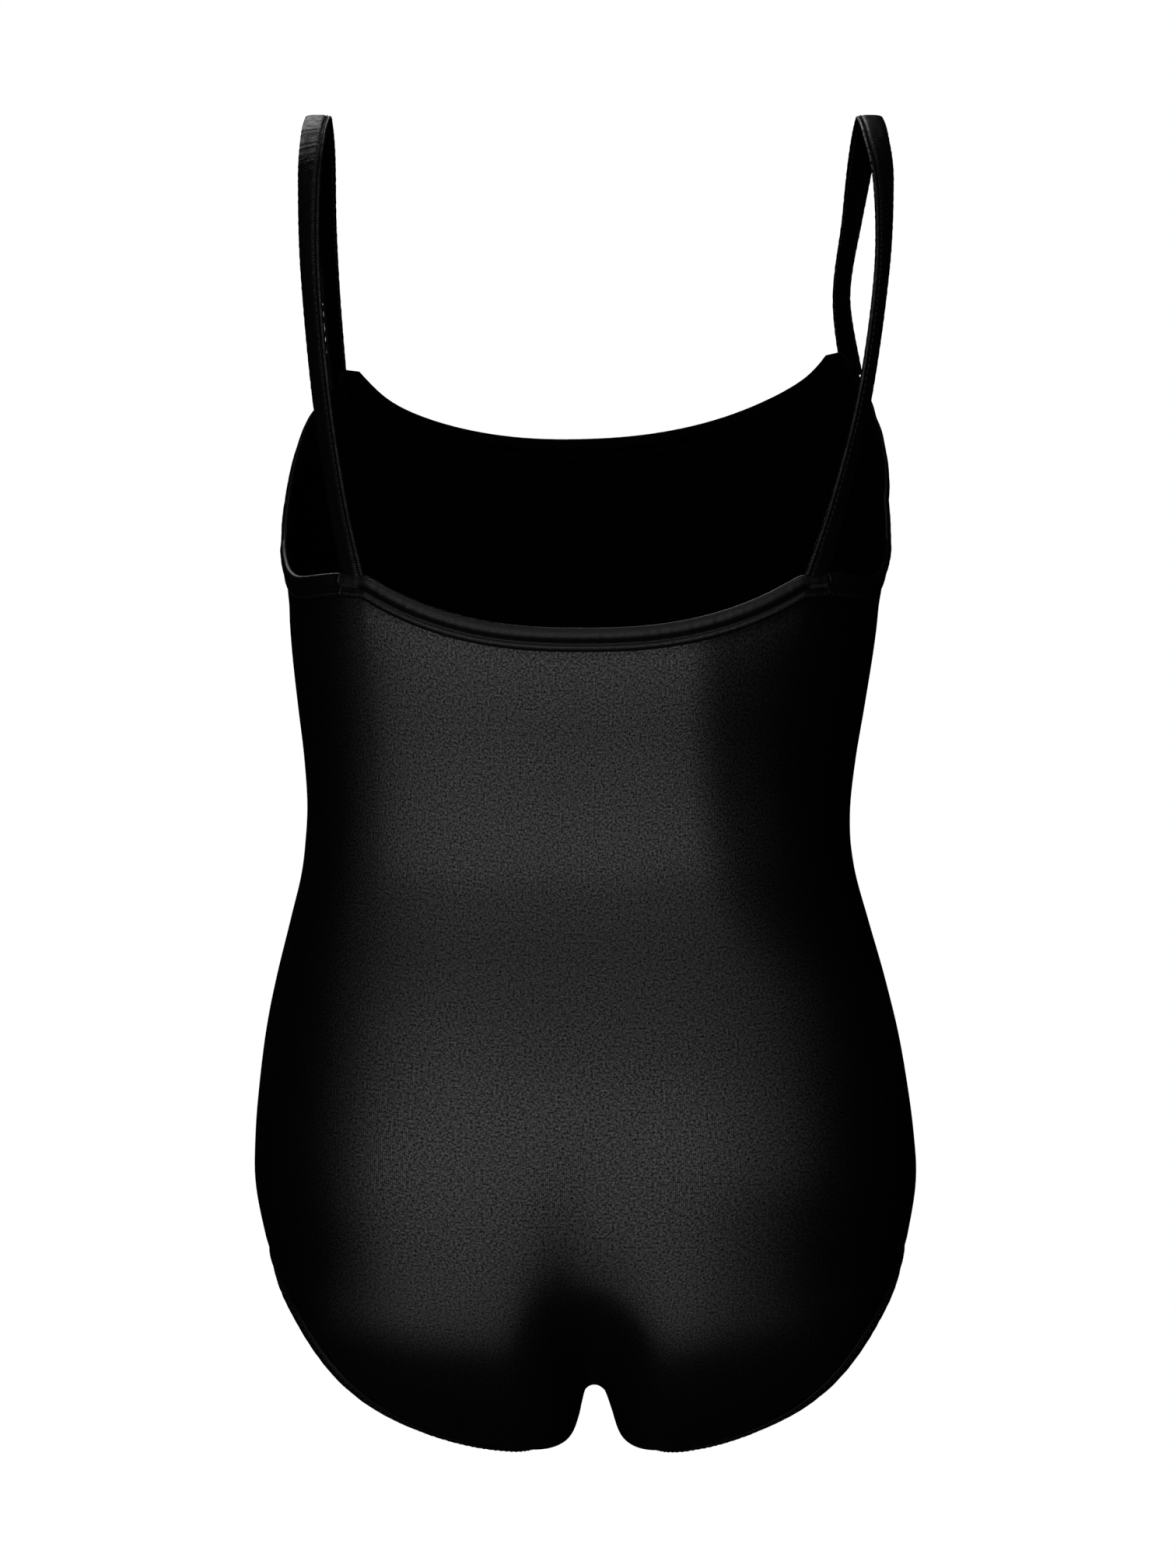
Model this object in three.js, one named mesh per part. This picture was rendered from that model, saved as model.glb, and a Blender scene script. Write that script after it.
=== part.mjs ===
import * as THREE from "three";

// A child's camisole gymnastics leotard, filled out as it is worn.
// Lengths are millimetres and angles are degrees. +X is the wearer's left, +Y is the
// wearer's back and +Z is up. The origin is the middle of the waist.

// Torso: horizontal sections every SECTION_STEP below SECTION_TOP.
const SECTION_TOP = 190;
const SECTION_STEP = 20;
const HALF_WIDTHS = [
  107, 109.5, 111.5, 112.6, 112.3, 110.7, 108.5, 105.8, 103, 101.5,
  103.1, 108, 113.3, 117.8, 120.9, 123, 123.6, 120.3, 115,
];
const BACK_DEPTHS = [
  78, 81, 83, 84, 84, 82, 79, 75, 70.5, 68,
  69.5, 75, 82, 88.5, 94, 97.5, 98, 95, 90,
];
const FRONT_DEPTHS = [
  70, 76, 82, 86, 88, 87, 84.5, 82, 80.5, 80,
  80.5, 82, 83, 83.5, 83, 82, 80.5, 79, 77,
];
const BACK_POWER = 3;
const FRONT_POWER = 2.4;

// Seat: below SEAT_Z the torso is a fan of planes about a line along X, with one table entry
// every FAN_STEP degrees from the back (0) through the crotch (90) to the front (180).
const SEAT_Z = -151;
const FAN_STEP = 30;
const CROTCH_ANGLE = 90;
const FRONT_ANGLE = 180;
const LOBE_RADII = [95, 95, 87, 74, 70, 73, 79];
const CLEFT_DEPTHS = [2.5, 8.5, 18, 17, 9, 2, 0];
const CLEFT_HALF_WIDTHS = [20, 20, 18, 17, 18, 20, 20];
const FAN_POWERS = [3, 2.8, 2.5, 2.1, 2.2, 2.3, 2.4];
const CLEFT_SHARPNESS = 2;

// Leg edge of the cloth: from the side over the seat to the crotch, then up the groin to the side.
// Each entry is the share of the half section and the angle in the fan.
const LEG_SHARES = [
  1, 0.82, 0.7, 0.6, 0.51, 0.42, 0.33, 0.245, 0.17, 0.125, 0.11,
  0.118, 0.145, 0.195, 0.27, 0.37, 0.49, 0.62, 0.75, 0.88, 1,
];
const LEG_ANGLES = [
  0, 12, 23.5, 33.5, 43, 51.5, 58, 63.5, 69.5, 78, 90,
  103, 114, 123, 131, 139, 147.5, 156, 164.5, 172, 180,
];
const CROTCH_KEY = 10;

// Top edge of the cloth. Shares are of the half section, 0 in the middle and 1 at the side seam.
const BACK_TOP = { middle: 72.2, corner: 90.5, power: 2.5, neckEnd: 0.5, armStart: 0.565 };
const FRONT_TOP = { middle: 146, corner: 170, power: 2.3, neckEnd: 0.615, armStart: 0.68 };
const ARM_EDGE = [91.5, 91.8, 105.5, 130, 162]; // from the back corner over the side seam
const ARM_SEAM_KEY = 2;

// Cloth, bindings and elastics.
const CLOTH = 0.8;
const BINDING = 0.7;
const GAP = 0.35;
const FOLD_ROOM = 0.7;
const BINDING_ABOVE = 7;
const BINDING_BELOW = 2;
const BINDING_CREST = 0.8; // how far the top of the fold stays below BINDING_ABOVE
const BINDING_CREST_SHARE = 0.7; // half the crest's width as a share of the fold's half width
const ELASTIC_TOP = -5.2;
const ELASTIC_BOTTOM = -1.6;
const ELASTIC = 0.8;
const THREAD = 0.7;
const THREAD_DOWN = 0.8;
const SEAM_GAP = 0.3;

// Straps.
const STRAP_HALF_WIDTH = 5;
const STRAP_HALF_THICK = 1.6;
const STRAP_REST_Z = 269.7;
const STRAP_ROUNDING = 1.2;
const STRAP_ELASTIC_HALF_WIDTH = 2.8;
const STRAP_ELASTIC = 0.6;
const STRAP_ELASTIC_ACROSS = -0.6;
const STRAP_THREAD_ACROSS = -3.4;
// Middle line from the back over the shoulder to the front, as [x, y, z, turn of its width].
const STRAP_KEYS = [
  [92.5, 70, 125, -48],
  [101, 73, 165, -60],
  [106.5, 66, 210, -55],
  [107.5, 46, 244, -35],
  [105.5, 24, 262.5, -12],
  [103.5, 5, STRAP_REST_Z, 0],
  [102.5, -5, STRAP_REST_Z, 0],
  [100.5, -24, 260, 12],
  [98.2, -41, 236, 28],
  [96.6, -48.5, 206, 38],
];
const STRAP_REST_KEYS = [6, 7]; // counted with the two sewn ends
const ANCHOR_HALF_WIDTH = 4.4;
const ANCHOR_TOP = -6.9;
const ANCHOR_BOTTOM = -0.4;
const ANCHOR = 2.4;
const TIP_GAP = 2;

const DEGREE = Math.PI / 180;

const leotard = new THREE.Group();
leotard.name = "gymnastics_leotard";

// ---------------------------------------------------------------- numbers from tables

function fromTable(table, position) {
  const last = table.length - 1;
  const place = THREE.MathUtils.clamp(position, 0, last);
  const index = Math.min(Math.floor(place), last - 1);
  const share = place - index;
  const start = table[index];
  const end = table[index + 1];
  const slopeIn = (end - table[Math.max(index - 1, 0)]) / 2;
  const slopeOut = (table[Math.min(index + 2, last)] - start) / 2;
  const bend = 3 * (end - start) - 2 * slopeIn - slopeOut;
  const twist = slopeIn + slopeOut - 2 * (end - start);
  return start + share * (slopeIn + share * (bend + share * twist));
}

function halfWidthAt(z) {
  return fromTable(HALF_WIDTHS, (SECTION_TOP - z) / SECTION_STEP);
}

function depthAt(z, isBack) {
  return fromTable(isBack ? BACK_DEPTHS : FRONT_DEPTHS, (SECTION_TOP - z) / SECTION_STEP);
}

function superellipse(across, power) {
  return Math.pow(Math.max(0, 1 - Math.pow(Math.abs(across), power)), 1 / power);
}

// Shares of a quarter section's length, so that columns of the cloth are evenly spaced.
const QUARTER_STEPS = 240;
const QUARTER_DEPTH_SHARE = 0.78;

function quarterTable(power) {
  const across = [0];
  const lengths = [0];
  for (let step = 1; step <= QUARTER_STEPS; step += 1) {
    const x = Math.pow(Math.sin((step / QUARTER_STEPS) * 90 * DEGREE), 2 / power);
    const rise = superellipse(x, power) - superellipse(across[step - 1], power);
    lengths.push(lengths[step - 1] + Math.hypot(x - across[step - 1], rise * QUARTER_DEPTH_SHARE));
    across.push(x);
  }
  return { across, lengths };
}

const BACK_QUARTER = quarterTable(BACK_POWER);
const FRONT_QUARTER = quarterTable(FRONT_POWER);

function acrossAt(share, isBack) {
  const { across, lengths } = isBack ? BACK_QUARTER : FRONT_QUARTER;
  const wanted = Math.abs(share) * lengths[QUARTER_STEPS];
  let step = 1;
  while (step < QUARTER_STEPS && lengths[step] < wanted) step += 1;
  const part = (wanted - lengths[step - 1]) / (lengths[step] - lengths[step - 1]);
  return Math.sign(share) * THREE.MathUtils.lerp(across[step - 1], across[step], part);
}

// ---------------------------------------------------------------- the torso's surface

const SEAT_HALF_WIDTH = halfWidthAt(SEAT_Z);

function fanRadius(x, angle) {
  const place = angle / FAN_STEP;
  const lobe = fromTable(LOBE_RADII, place);
  const power = fromTable(FAN_POWERS, place);
  const offMiddle = Math.abs(x) / fromTable(CLEFT_HALF_WIDTHS, place);
  const cleft = fromTable(CLEFT_DEPTHS, place) * Math.exp(-Math.pow(offMiddle, CLEFT_SHARPNESS));
  return Math.max(0, lobe * superellipse(x / SEAT_HALF_WIDTH, power) - cleft);
}

function seatPoint(share, angle) {
  const x = SEAT_HALF_WIDTH * acrossAt(share, angle < CROTCH_ANGLE);
  const radius = fanRadius(x, angle);
  const y = radius * Math.cos(angle * DEGREE);
  return new THREE.Vector3(x, y, SEAT_Z - radius * Math.sin(angle * DEGREE));
}

function torsoPoint(share, z, isBack) {
  const across = acrossAt(share, isBack);
  const depth = depthAt(z, isBack) * superellipse(across, isBack ? BACK_POWER : FRONT_POWER);
  const above = THREE.MathUtils.smoothstep(z, SEAT_Z, SEAT_Z + 3 * SECTION_STEP);
  const offMiddle = Math.abs(across * SEAT_HALF_WIDTH) / CLEFT_HALF_WIDTHS[0];
  const cleft = isBack
    ? CLEFT_DEPTHS[0] * (1 - above) * Math.exp(-Math.pow(offMiddle, CLEFT_SHARPNESS))
    : 0;
  const y = (isBack ? 1 : -1) * (depth - cleft);
  return new THREE.Vector3(halfWidthAt(z) * across, y, z);
}

function outOfTorso(point) {
  const isBack = point.y >= 0;
  if (point.z >= SEAT_Z) {
    const power = isBack ? BACK_POWER : FRONT_POWER;
    const across = Math.pow(Math.abs(point.x) / halfWidthAt(point.z), power);
    const deep = Math.pow(Math.abs(point.y) / depthAt(point.z, isBack), power);
    return (Math.pow(across + deep, 1 / power) - 1) * halfWidthAt(point.z);
  }
  const angle = Math.atan2(SEAT_Z - point.z, point.y) / DEGREE;
  return Math.hypot(point.y, SEAT_Z - point.z) - fanRadius(point.x, angle);
}

function outward(point) {
  const slope = ["x", "y", "z"].map((axis) => {
    const ahead = point.clone();
    const behind = point.clone();
    ahead[axis] += GAP;
    behind[axis] -= GAP;
    return outOfTorso(ahead) - outOfTorso(behind);
  });
  return new THREE.Vector3(...slope).normalize();
}

function topEdge(share, isBack) {
  const top = isBack ? BACK_TOP : FRONT_TOP;
  const away = Math.abs(share);
  const armCorner = ARM_EDGE[isBack ? 0 : ARM_EDGE.length - 1];
  if (away <= top.neckEnd) {
    const rise = (top.corner - top.middle) * Math.pow(away / top.neckEnd, top.power);
    return top.middle + rise;
  }
  if (away <= top.armStart) {
    const part = (away - top.neckEnd) / (top.armStart - top.neckEnd);
    return THREE.MathUtils.lerp(top.corner, armCorner, part);
  }
  const fromSeam = (1 - away) / (1 - top.armStart);
  return fromTable(ARM_EDGE, ARM_SEAM_KEY + (isBack ? -1 : 1) * ARM_SEAM_KEY * fromSeam);
}

// A point of the cloth: row 0 is the top edge, row BODY_ROWS is at SEAT_Z, and the rows after it
// are planes of the fan, each as wide as the leg edge leaves it. The last one is the crotch seam.
const BODY_PLACES = [0, 0.016, 0.17, 0.34, 0.5, 0.66, 0.8, 0.9, 1];
const BODY_ROWS = BODY_PLACES.length - 1;
const LEG_KEYS = [0.4, 0.8, 1.3, 1.9, 2.5, 3.2, 4, 5, 6.5, 8, 9, CROTCH_KEY];

function legKey(row, isBack) {
  const key = row <= BODY_ROWS ? 0 : LEG_KEYS[row - BODY_ROWS - 1];
  return isBack ? key : 2 * CROTCH_KEY - key;
}

function clothPoint(share, row, isBack) {
  if (row > BODY_ROWS) {
    const key = legKey(row, isBack);
    return seatPoint(share * fromTable(LEG_SHARES, key), fromTable(LEG_ANGLES, key));
  }
  const z = THREE.MathUtils.lerp(topEdge(share, isBack), SEAT_Z, BODY_PLACES[row]);
  return torsoPoint(share, z, isBack);
}

// The shares of the panel columns: evenly under the neck and under the armhole.
function evenly(from, to, count) {
  return Array.from({ length: count }, (_, index) => {
    return THREE.MathUtils.lerp(from, to, (index + 1) / count);
  });
}

const LAST_COLUMN = 0.97;

function neckColumns(isBack) {
  const { neckEnd } = isBack ? BACK_TOP : FRONT_TOP;
  return [0, ...evenly(0, neckEnd, 5)];
}

function armColumns(isBack) {
  const { armStart } = isBack ? BACK_TOP : FRONT_TOP;
  return [armStart, ...evenly(armStart, LAST_COLUMN, 6), 1];
}

function halfColumns(isBack) {
  return [...neckColumns(isBack), ...armColumns(isBack)];
}

function bothSides(half) {
  return [...half.slice(1).reverse().map((share) => -share), ...half];
}

// ---------------------------------------------------------------- solids

// A box whose points are moved by place(u, v, w), each from 0 to 1.
function bentBox(segments, place) {
  const geometry = new THREE.BoxGeometry(1, 1, 1, ...segments);
  const points = geometry.getAttribute("position");
  for (let index = 0; index < points.count; index += 1) {
    const [u, v, w] = [points.getX(index), points.getY(index), points.getZ(index)];
    points.setXYZ(index, ...place(u + 0.5, v + 0.5, w + 0.5).toArray());
  }
  geometry.computeVertexNormals();
  return geometry;
}

function mirrored(place) {
  return (u, v, w) => {
    const point = place(1 - u, v, w);
    point.x = -point.x;
    return point;
  };
}

const KNIT = { color: "#0c0c0e", roughness: 0.6 };
const TRIM = { color: "#101012", roughness: 0.5 };
const SEWING = { color: "#101012", roughness: 0.7 };
const WOVEN_ELASTIC = { color: "#d8d5cc", roughness: 0.8 };
const LINING_KNIT = { color: "#1c1b1d", roughness: 0.85 };

function addPiece(name, geometry, finish) {
  const material = new THREE.MeshStandardMaterial({ ...finish, metalness: 0 });
  const mesh = new THREE.Mesh(geometry, material);
  mesh.name = name;
  leotard.add(mesh);
}

function addPair(name, segments, place, finish) {
  addPiece("left_" + name, bentBox(segments, place), finish);
  addPiece("right_" + name, bentBox(segments, mirrored(place)), finish);
}

// A path along an edge of the cloth through the panel columns' own ends, which are its stations.
// At u it gives a point and its frame. Down points into the cloth.
function edgePath(stations, pointAt) {
  const step = 1e-3;
  return (u) => {
    const station = stations[Math.round(u * (stations.length - 1))];
    const point = pointAt(station);
    const along = pointAt(station + step).sub(pointAt(station - step));
    along.multiplyScalar(Math.sign(stations[1] - stations[0])).normalize();
    const out = outward(point);
    const down = new THREE.Vector3().crossVectors(out, along).normalize();
    return { point, out, down };
  };
}

function offset(frame, out, down) {
  return frame.point.clone().addScaledVector(frame.out, out).addScaledVector(frame.down, down);
}

// The middle line of a folded binding's section, as [out, down] points round the cloth's edge.
const FOLD = (CLOTH + BINDING) / 2 + FOLD_ROOM;
const FOLD_LINE = [
  [-FOLD, BINDING_BELOW],
  [-FOLD, -BINDING_ABOVE + 2 * FOLD],
  [-FOLD * BINDING_CREST_SHARE, -BINDING_ABOVE + BINDING_CREST],
  [FOLD * BINDING_CREST_SHARE, -BINDING_ABOVE + BINDING_CREST],
  [FOLD, -BINDING_ABOVE + 2 * FOLD],
  [FOLD, BINDING_BELOW],
].map(([out, down]) => new THREE.Vector2(out, down));

// A point beside a bent line, at side from it. At a corner it goes further out, up to twice as far.
const SHARPEST_CORNER = 0.5;

function besideLine(line, v, side) {
  const last = line.length - 1;
  const index = Math.round(v * last);
  const before = line[Math.max(index - 1, 0)];
  const after = line[Math.min(index + 1, last)];
  const here = line[index];
  const incoming = here.clone().sub(before).normalize();
  const outgoing = after.clone().sub(here).normalize();
  const along = incoming.clone().add(outgoing).normalize();
  const turn = along.dot(index === 0 ? outgoing : incoming);
  const reach = side / Math.max(SHARPEST_CORNER, turn);
  return new THREE.Vector2(here.x + along.y * reach, here.y - along.x * reach);
}

function bindingPlace(path) {
  return (u, v, w) => {
    const section = besideLine(FOLD_LINE, v, (w - 0.5) * BINDING);
    return offset(path(u), section.x, section.y);
  };
}

function stripPlace(path, inner, outer, top, bottom) {
  return (u, v, w) => {
    const out = THREE.MathUtils.lerp(inner, outer, w);
    return offset(path(u), out, THREE.MathUtils.lerp(top, bottom, v));
  };
}

function threadPlace(path, from, down) {
  return stripPlace(path, from, from + THREAD, down - THREAD / 2, down + THREAD / 2);
}

// ---------------------------------------------------------------- panels and lining

const PANEL_ROWS = BODY_ROWS + LEG_KEYS.length;

function panelPlace(isBack) {
  const shares = bothSides(halfColumns(isBack));
  const direction = isBack ? 1 : -1;
  return (u, v, w) => {
    const share = -direction * shares[Math.round(u * (shares.length - 1))];
    const row = Math.round((1 - v) * PANEL_ROWS);
    const point = clothPoint(share, row, isBack);
    const normal = outward(point);
    const atSeam = row === PANEL_ROWS || (row <= BODY_ROWS && Math.abs(share) === 1);
    if (atSeam) point.y += direction * SEAM_GAP;
    return point.addScaledVector(normal, (w - 0.5) * CLOTH);
  };
}

const PANEL_COLUMNS = 2 * (halfColumns(true).length - 1);
addPiece("back_panel", bentBox([PANEL_COLUMNS, PANEL_ROWS, 1], panelPlace(true)), KNIT);
addPiece("front_panel", bentBox([PANEL_COLUMNS, PANEL_ROWS, 1], panelPlace(false)), KNIT);

// ---------------------------------------------------------------- neck bindings

function neckPath(isBack) {
  const shares = bothSides(neckColumns(isBack));
  if (!isBack) shares.reverse();
  return edgePath(shares, (share) => torsoPoint(share, topEdge(share, isBack), isBack));
}

const NECK_STEPS = 2 * (neckColumns(true).length - 1);
const FOLD_STEPS = FOLD_LINE.length - 1;
const BINDING_FACE = FOLD + BINDING / 2;

function addNeck(name, isBack) {
  const path = neckPath(isBack);
  const elastic = stripPlace(path, -ELASTIC / 2, ELASTIC / 2, ELASTIC_TOP, ELASTIC_BOTTOM);
  const binding = bindingPlace(path);
  const thread = threadPlace(path, BINDING_FACE + GAP, THREAD_DOWN);
  addPiece(name + "_neck_binding", bentBox([NECK_STEPS, FOLD_STEPS, 1], binding), TRIM);
  addPiece(name + "_neck_elastic", bentBox([NECK_STEPS, 1, 1], elastic), WOVEN_ELASTIC);
  addPiece(name + "_neck_stitching", bentBox([NECK_STEPS, 1, 1], thread), SEWING);
}

addNeck("back", true);
addNeck("front", false);

// ---------------------------------------------------------------- armhole bindings

// Stations run from the back corner to the side seam at 1 and on to the front corner.
const armStations = [
  ...armColumns(true),
  ...armColumns(false).slice(0, -1).reverse().map((share) => 2 - share),
];
const armPath = edgePath(armStations, (station) => {
  const isBack = station <= 1;
  const share = isBack ? station : 2 - station;
  return torsoPoint(share, topEdge(share, isBack), isBack);
});

function addTrimPair(name, path, steps, threadName) {
  const elastic = stripPlace(path, -ELASTIC / 2, ELASTIC / 2, ELASTIC_TOP, ELASTIC_BOTTOM);
  const thread = threadPlace(path, BINDING_FACE + GAP, THREAD_DOWN);
  addPair(name + "_binding", [steps, FOLD_STEPS, 1], bindingPlace(path), TRIM);
  addPair(name + "_elastic", [steps, 1, 1], elastic, WOVEN_ELASTIC);
  addPair(threadName, [steps, 1, 1], thread, SEWING);
}

addTrimPair("armhole", armPath, armStations.length - 1, "armhole_stitching");

// ---------------------------------------------------------------- leg bindings

// Stations are the leg table's places from the side seam over the seat to the groin and back.
const LEG_JOIN = 0.03;
const legStations = [
  LEG_JOIN,
  ...LEG_KEYS,
  ...LEG_KEYS.slice(0, -1).reverse().map((key) => 2 * CROTCH_KEY - key),
  2 * CROTCH_KEY - LEG_JOIN,
];
const legPath = edgePath(legStations, (key) => {
  return seatPoint(fromTable(LEG_SHARES, key), fromTable(LEG_ANGLES, key));
});
addTrimPair("leg", legPath, legStations.length - 1, "leg_stitching");

// ---------------------------------------------------------------- seams and gusset lining

const SEAM_HALF_WIDTH = 2.5;
const SEAM_OUTER = -CLOTH / 2 - 2 * GAP;
const SEAM_INNER = SEAM_OUTER - BINDING;
const SEAM_SHORT = 4;

function sideSeamPlace(u, v, w) {
  const row = Math.round(u * BODY_ROWS);
  const top = topEdge(1, true) - SEAM_SHORT;
  const z = THREE.MathUtils.clamp(clothPoint(1, row, true).z, SEAT_Z + SEAM_SHORT, top);
  const out = THREE.MathUtils.lerp(SEAM_INNER, SEAM_OUTER, w);
  const y = THREE.MathUtils.lerp(-SEAM_HALF_WIDTH, SEAM_HALF_WIDTH, v);
  return new THREE.Vector3(halfWidthAt(z) + out, y, z);
}

addPair("side_seam", [BODY_ROWS, 1, 1], sideSeamPlace, SEWING);

const CROTCH_REACH = 0.85; // the seam and the lining stop short of the leg bindings
const CROTCH_COLUMNS = bothSides(halfColumns(true).filter((share) => share < CROTCH_REACH));

function crotchPlace(share, key, out) {
  const point = seatPoint(share * fromTable(LEG_SHARES, key), fromTable(LEG_ANGLES, key));
  return point.addScaledVector(outward(point), out);
}

addPiece("crotch_seam", bentBox([CROTCH_COLUMNS.length - 1, 1, 1], (u, v, w) => {
  const share = CROTCH_COLUMNS[Math.round(u * (CROTCH_COLUMNS.length - 1))];
  const point = crotchPlace(share, CROTCH_KEY, THREE.MathUtils.lerp(SEAM_OUTER, SEAM_INNER, w));
  point.y += THREE.MathUtils.lerp(-SEAM_HALF_WIDTH, SEAM_HALF_WIDTH, v);
  return point;
}), SEWING);

const LINING_KEYS = [8, 9, 10, 11, 12, 13.5];
const LINING_OUTER = SEAM_INNER - 2 * GAP;
const LINING = 0.6;

addPiece("gusset_lining", bentBox(
  [CROTCH_COLUMNS.length - 1, LINING_KEYS.length - 1, 1],
  (u, v, w) => {
    const share = CROTCH_COLUMNS[Math.round(u * (CROTCH_COLUMNS.length - 1))];
    const key = LINING_KEYS[Math.round((1 - v) * (LINING_KEYS.length - 1))];
    return crotchPlace(share, key, LINING_OUTER - w * LINING);
  },
), LINING_KNIT);

// ---------------------------------------------------------------- strap anchors and bar tacks

function cornerFrame(isBack) {
  const { neckEnd, armStart } = isBack ? BACK_TOP : FRONT_TOP;
  const stations = isBack ? [neckEnd, (neckEnd + armStart) / 2, armStart]
    : [armStart, (neckEnd + armStart) / 2, neckEnd];
  const corner = (share) => torsoPoint(share, topEdge(share, isBack), isBack);
  return edgePath(stations, corner)(0.5);
}

function blockPlace(frame, half, from, to, top, bottom) {
  const along = new THREE.Vector3().crossVectors(frame.down, frame.out);
  return (u, v, w) => {
    const out = THREE.MathUtils.lerp(from, to, w);
    const down = THREE.MathUtils.lerp(top, bottom, v);
    return offset(frame, out, down).addScaledVector(along, (2 * u - 1) * half);
  };
}

const TACK_HALF_WIDTH = 3.6;
const TACK_TOP = -3.8;
const TACK_BOTTOM = -2.6;
const BACK_CORNER = cornerFrame(true);
const FRONT_CORNER = cornerFrame(false);

[["back", BACK_CORNER], ["front", FRONT_CORNER]].forEach(([name, frame]) => {
  const half = ANCHOR / 2;
  const from = half + GAP;
  const anchor = blockPlace(frame, ANCHOR_HALF_WIDTH, -half, half, ANCHOR_TOP, ANCHOR_BOTTOM);
  const tack = blockPlace(frame, TACK_HALF_WIDTH, from, from + THREAD, TACK_TOP, TACK_BOTTOM);
  addPair(name + "_strap_anchor", [1, 1, 1], anchor, TRIM);
  addPair(name + "_bar_tack", [1, 1, 1], tack, SEWING);
});

// ---------------------------------------------------------------- straps

const TIP_BACK = offset(BACK_CORNER, 0, ANCHOR_TOP - TIP_GAP);
const TIP_FRONT = offset(FRONT_CORNER, 0, ANCHOR_TOP - TIP_GAP);
const STRAP_CURVE = new THREE.CatmullRomCurve3([
  TIP_BACK,
  ...STRAP_KEYS.map(([x, y, z]) => new THREE.Vector3(x, y, z)),
  TIP_FRONT,
]);
const outTurn = (frame) => Math.atan2(frame.out.y, frame.out.x) / DEGREE;
const STRAP_TURNS = [
  outTurn(BACK_CORNER) - 90,
  ...STRAP_KEYS.map(([, , , turn]) => turn),
  outTurn(FRONT_CORNER) + 90,
];
const STRAP_SPANS = STRAP_TURNS.length - 1;
const TIP_PLACES = [0, 0.03, 0.09, 0.2, 0.6]; // shares of the first and last span
const SPAN_PLACES = [0.33, 0.67];
const TIP_LENGTH = 0.2;
const NARROWEST = 0.3;

function strapStations() {
  const stations = [...TIP_PLACES];
  for (let span = 1; span < STRAP_SPANS - 1; span += 1) {
    stations.push(span);
    if (span !== STRAP_REST_KEYS[0]) stations.push(...SPAN_PLACES.map((place) => span + place));
  }
  stations.push(STRAP_SPANS - 1);
  return [...stations, ...[...TIP_PLACES].reverse().map((place) => STRAP_SPANS - place)];
}

function strapFrame(station) {
  const point = STRAP_CURVE.getPoint(station / STRAP_SPANS);
  const along = STRAP_CURVE.getTangent(station / STRAP_SPANS);
  const turn = fromTable(STRAP_TURNS, station) * DEGREE;
  const across = new THREE.Vector3(Math.cos(turn), Math.sin(turn), 0);
  if (STRAP_REST_KEYS.includes(station)) along.set(0, -1, 0);
  across.addScaledVector(along, -across.dot(along)).normalize();
  const toTip = Math.min(1, station / TIP_LENGTH, (STRAP_SPANS - station) / TIP_LENGTH);
  const narrowing = Math.max(NARROWEST, Math.sqrt(1 - (1 - toTip) ** 2));
  return { point, across, out: new THREE.Vector3().crossVectors(along, across), narrowing };
}

// The middle line of a strap's folded section: [across, out], open at its neck side.
const STRAP_MIDDLE = STRAP_HALF_THICK - BINDING / 2;
const STRAP_LINE = [
  [-STRAP_HALF_WIDTH, -STRAP_MIDDLE],
  [STRAP_HALF_WIDTH - STRAP_ROUNDING, -STRAP_MIDDLE],
  [STRAP_HALF_WIDTH - BINDING / 2, 0],
  [STRAP_HALF_WIDTH - STRAP_ROUNDING, STRAP_MIDDLE],
  [-STRAP_HALF_WIDTH, STRAP_MIDDLE],
].map(([across, out]) => new THREE.Vector2(across, out));

function strapPlace(stations, section) {
  const frames = stations.map(strapFrame);
  return (u, v, w) => {
    const frame = frames[Math.round(u * (stations.length - 1))];
    const { x, y } = section(v, w);
    const point = frame.point.clone().addScaledVector(frame.across, x * frame.narrowing);
    return point.addScaledVector(frame.out, y);
  };
}

function flatSection(across, out, halfWidth, thick) {
  return (v, w) => new THREE.Vector2(across + (2 * v - 1) * halfWidth, out + (w - 0.5) * thick);
}

const ALL_STATIONS = strapStations();
const INNER_STATIONS = ALL_STATIONS.slice(2, -2);
const SEWN_STATIONS = ALL_STATIONS.slice(4, -4);
const STRAP_FOLD = STRAP_LINE.length - 1;
const foldedSection = (v, w) => besideLine(STRAP_LINE, 1 - v, (w - 0.5) * BINDING);
const elasticSection = flatSection(
  STRAP_ELASTIC_ACROSS, 0, STRAP_ELASTIC_HALF_WIDTH, STRAP_ELASTIC,
);
const threadOut = STRAP_HALF_THICK + GAP + THREAD / 2;
const strapThread = flatSection(STRAP_THREAD_ACROSS, threadOut, THREAD / 2, THREAD);

addPair("strap", [ALL_STATIONS.length - 1, STRAP_FOLD, 1],
  strapPlace(ALL_STATIONS, foldedSection), TRIM);
addPair("strap_elastic", [INNER_STATIONS.length - 1, 1, 1],
  strapPlace(INNER_STATIONS, elasticSection), WOVEN_ELASTIC);
addPair("strap_stitching", [SEWN_STATIONS.length - 1, 1, 1],
  strapPlace(SEWN_STATIONS, strapThread), SEWING);

export default leotard;
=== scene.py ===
"""Shown model of a child's camisole gymnastics leotard, filled out as it is worn.

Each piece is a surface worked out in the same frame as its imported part: +X is the wearer's left,
+Y is the wearer's back and +Z is up. The functions work in millimetres and a mesh gets metres.
"""

import math

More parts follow.
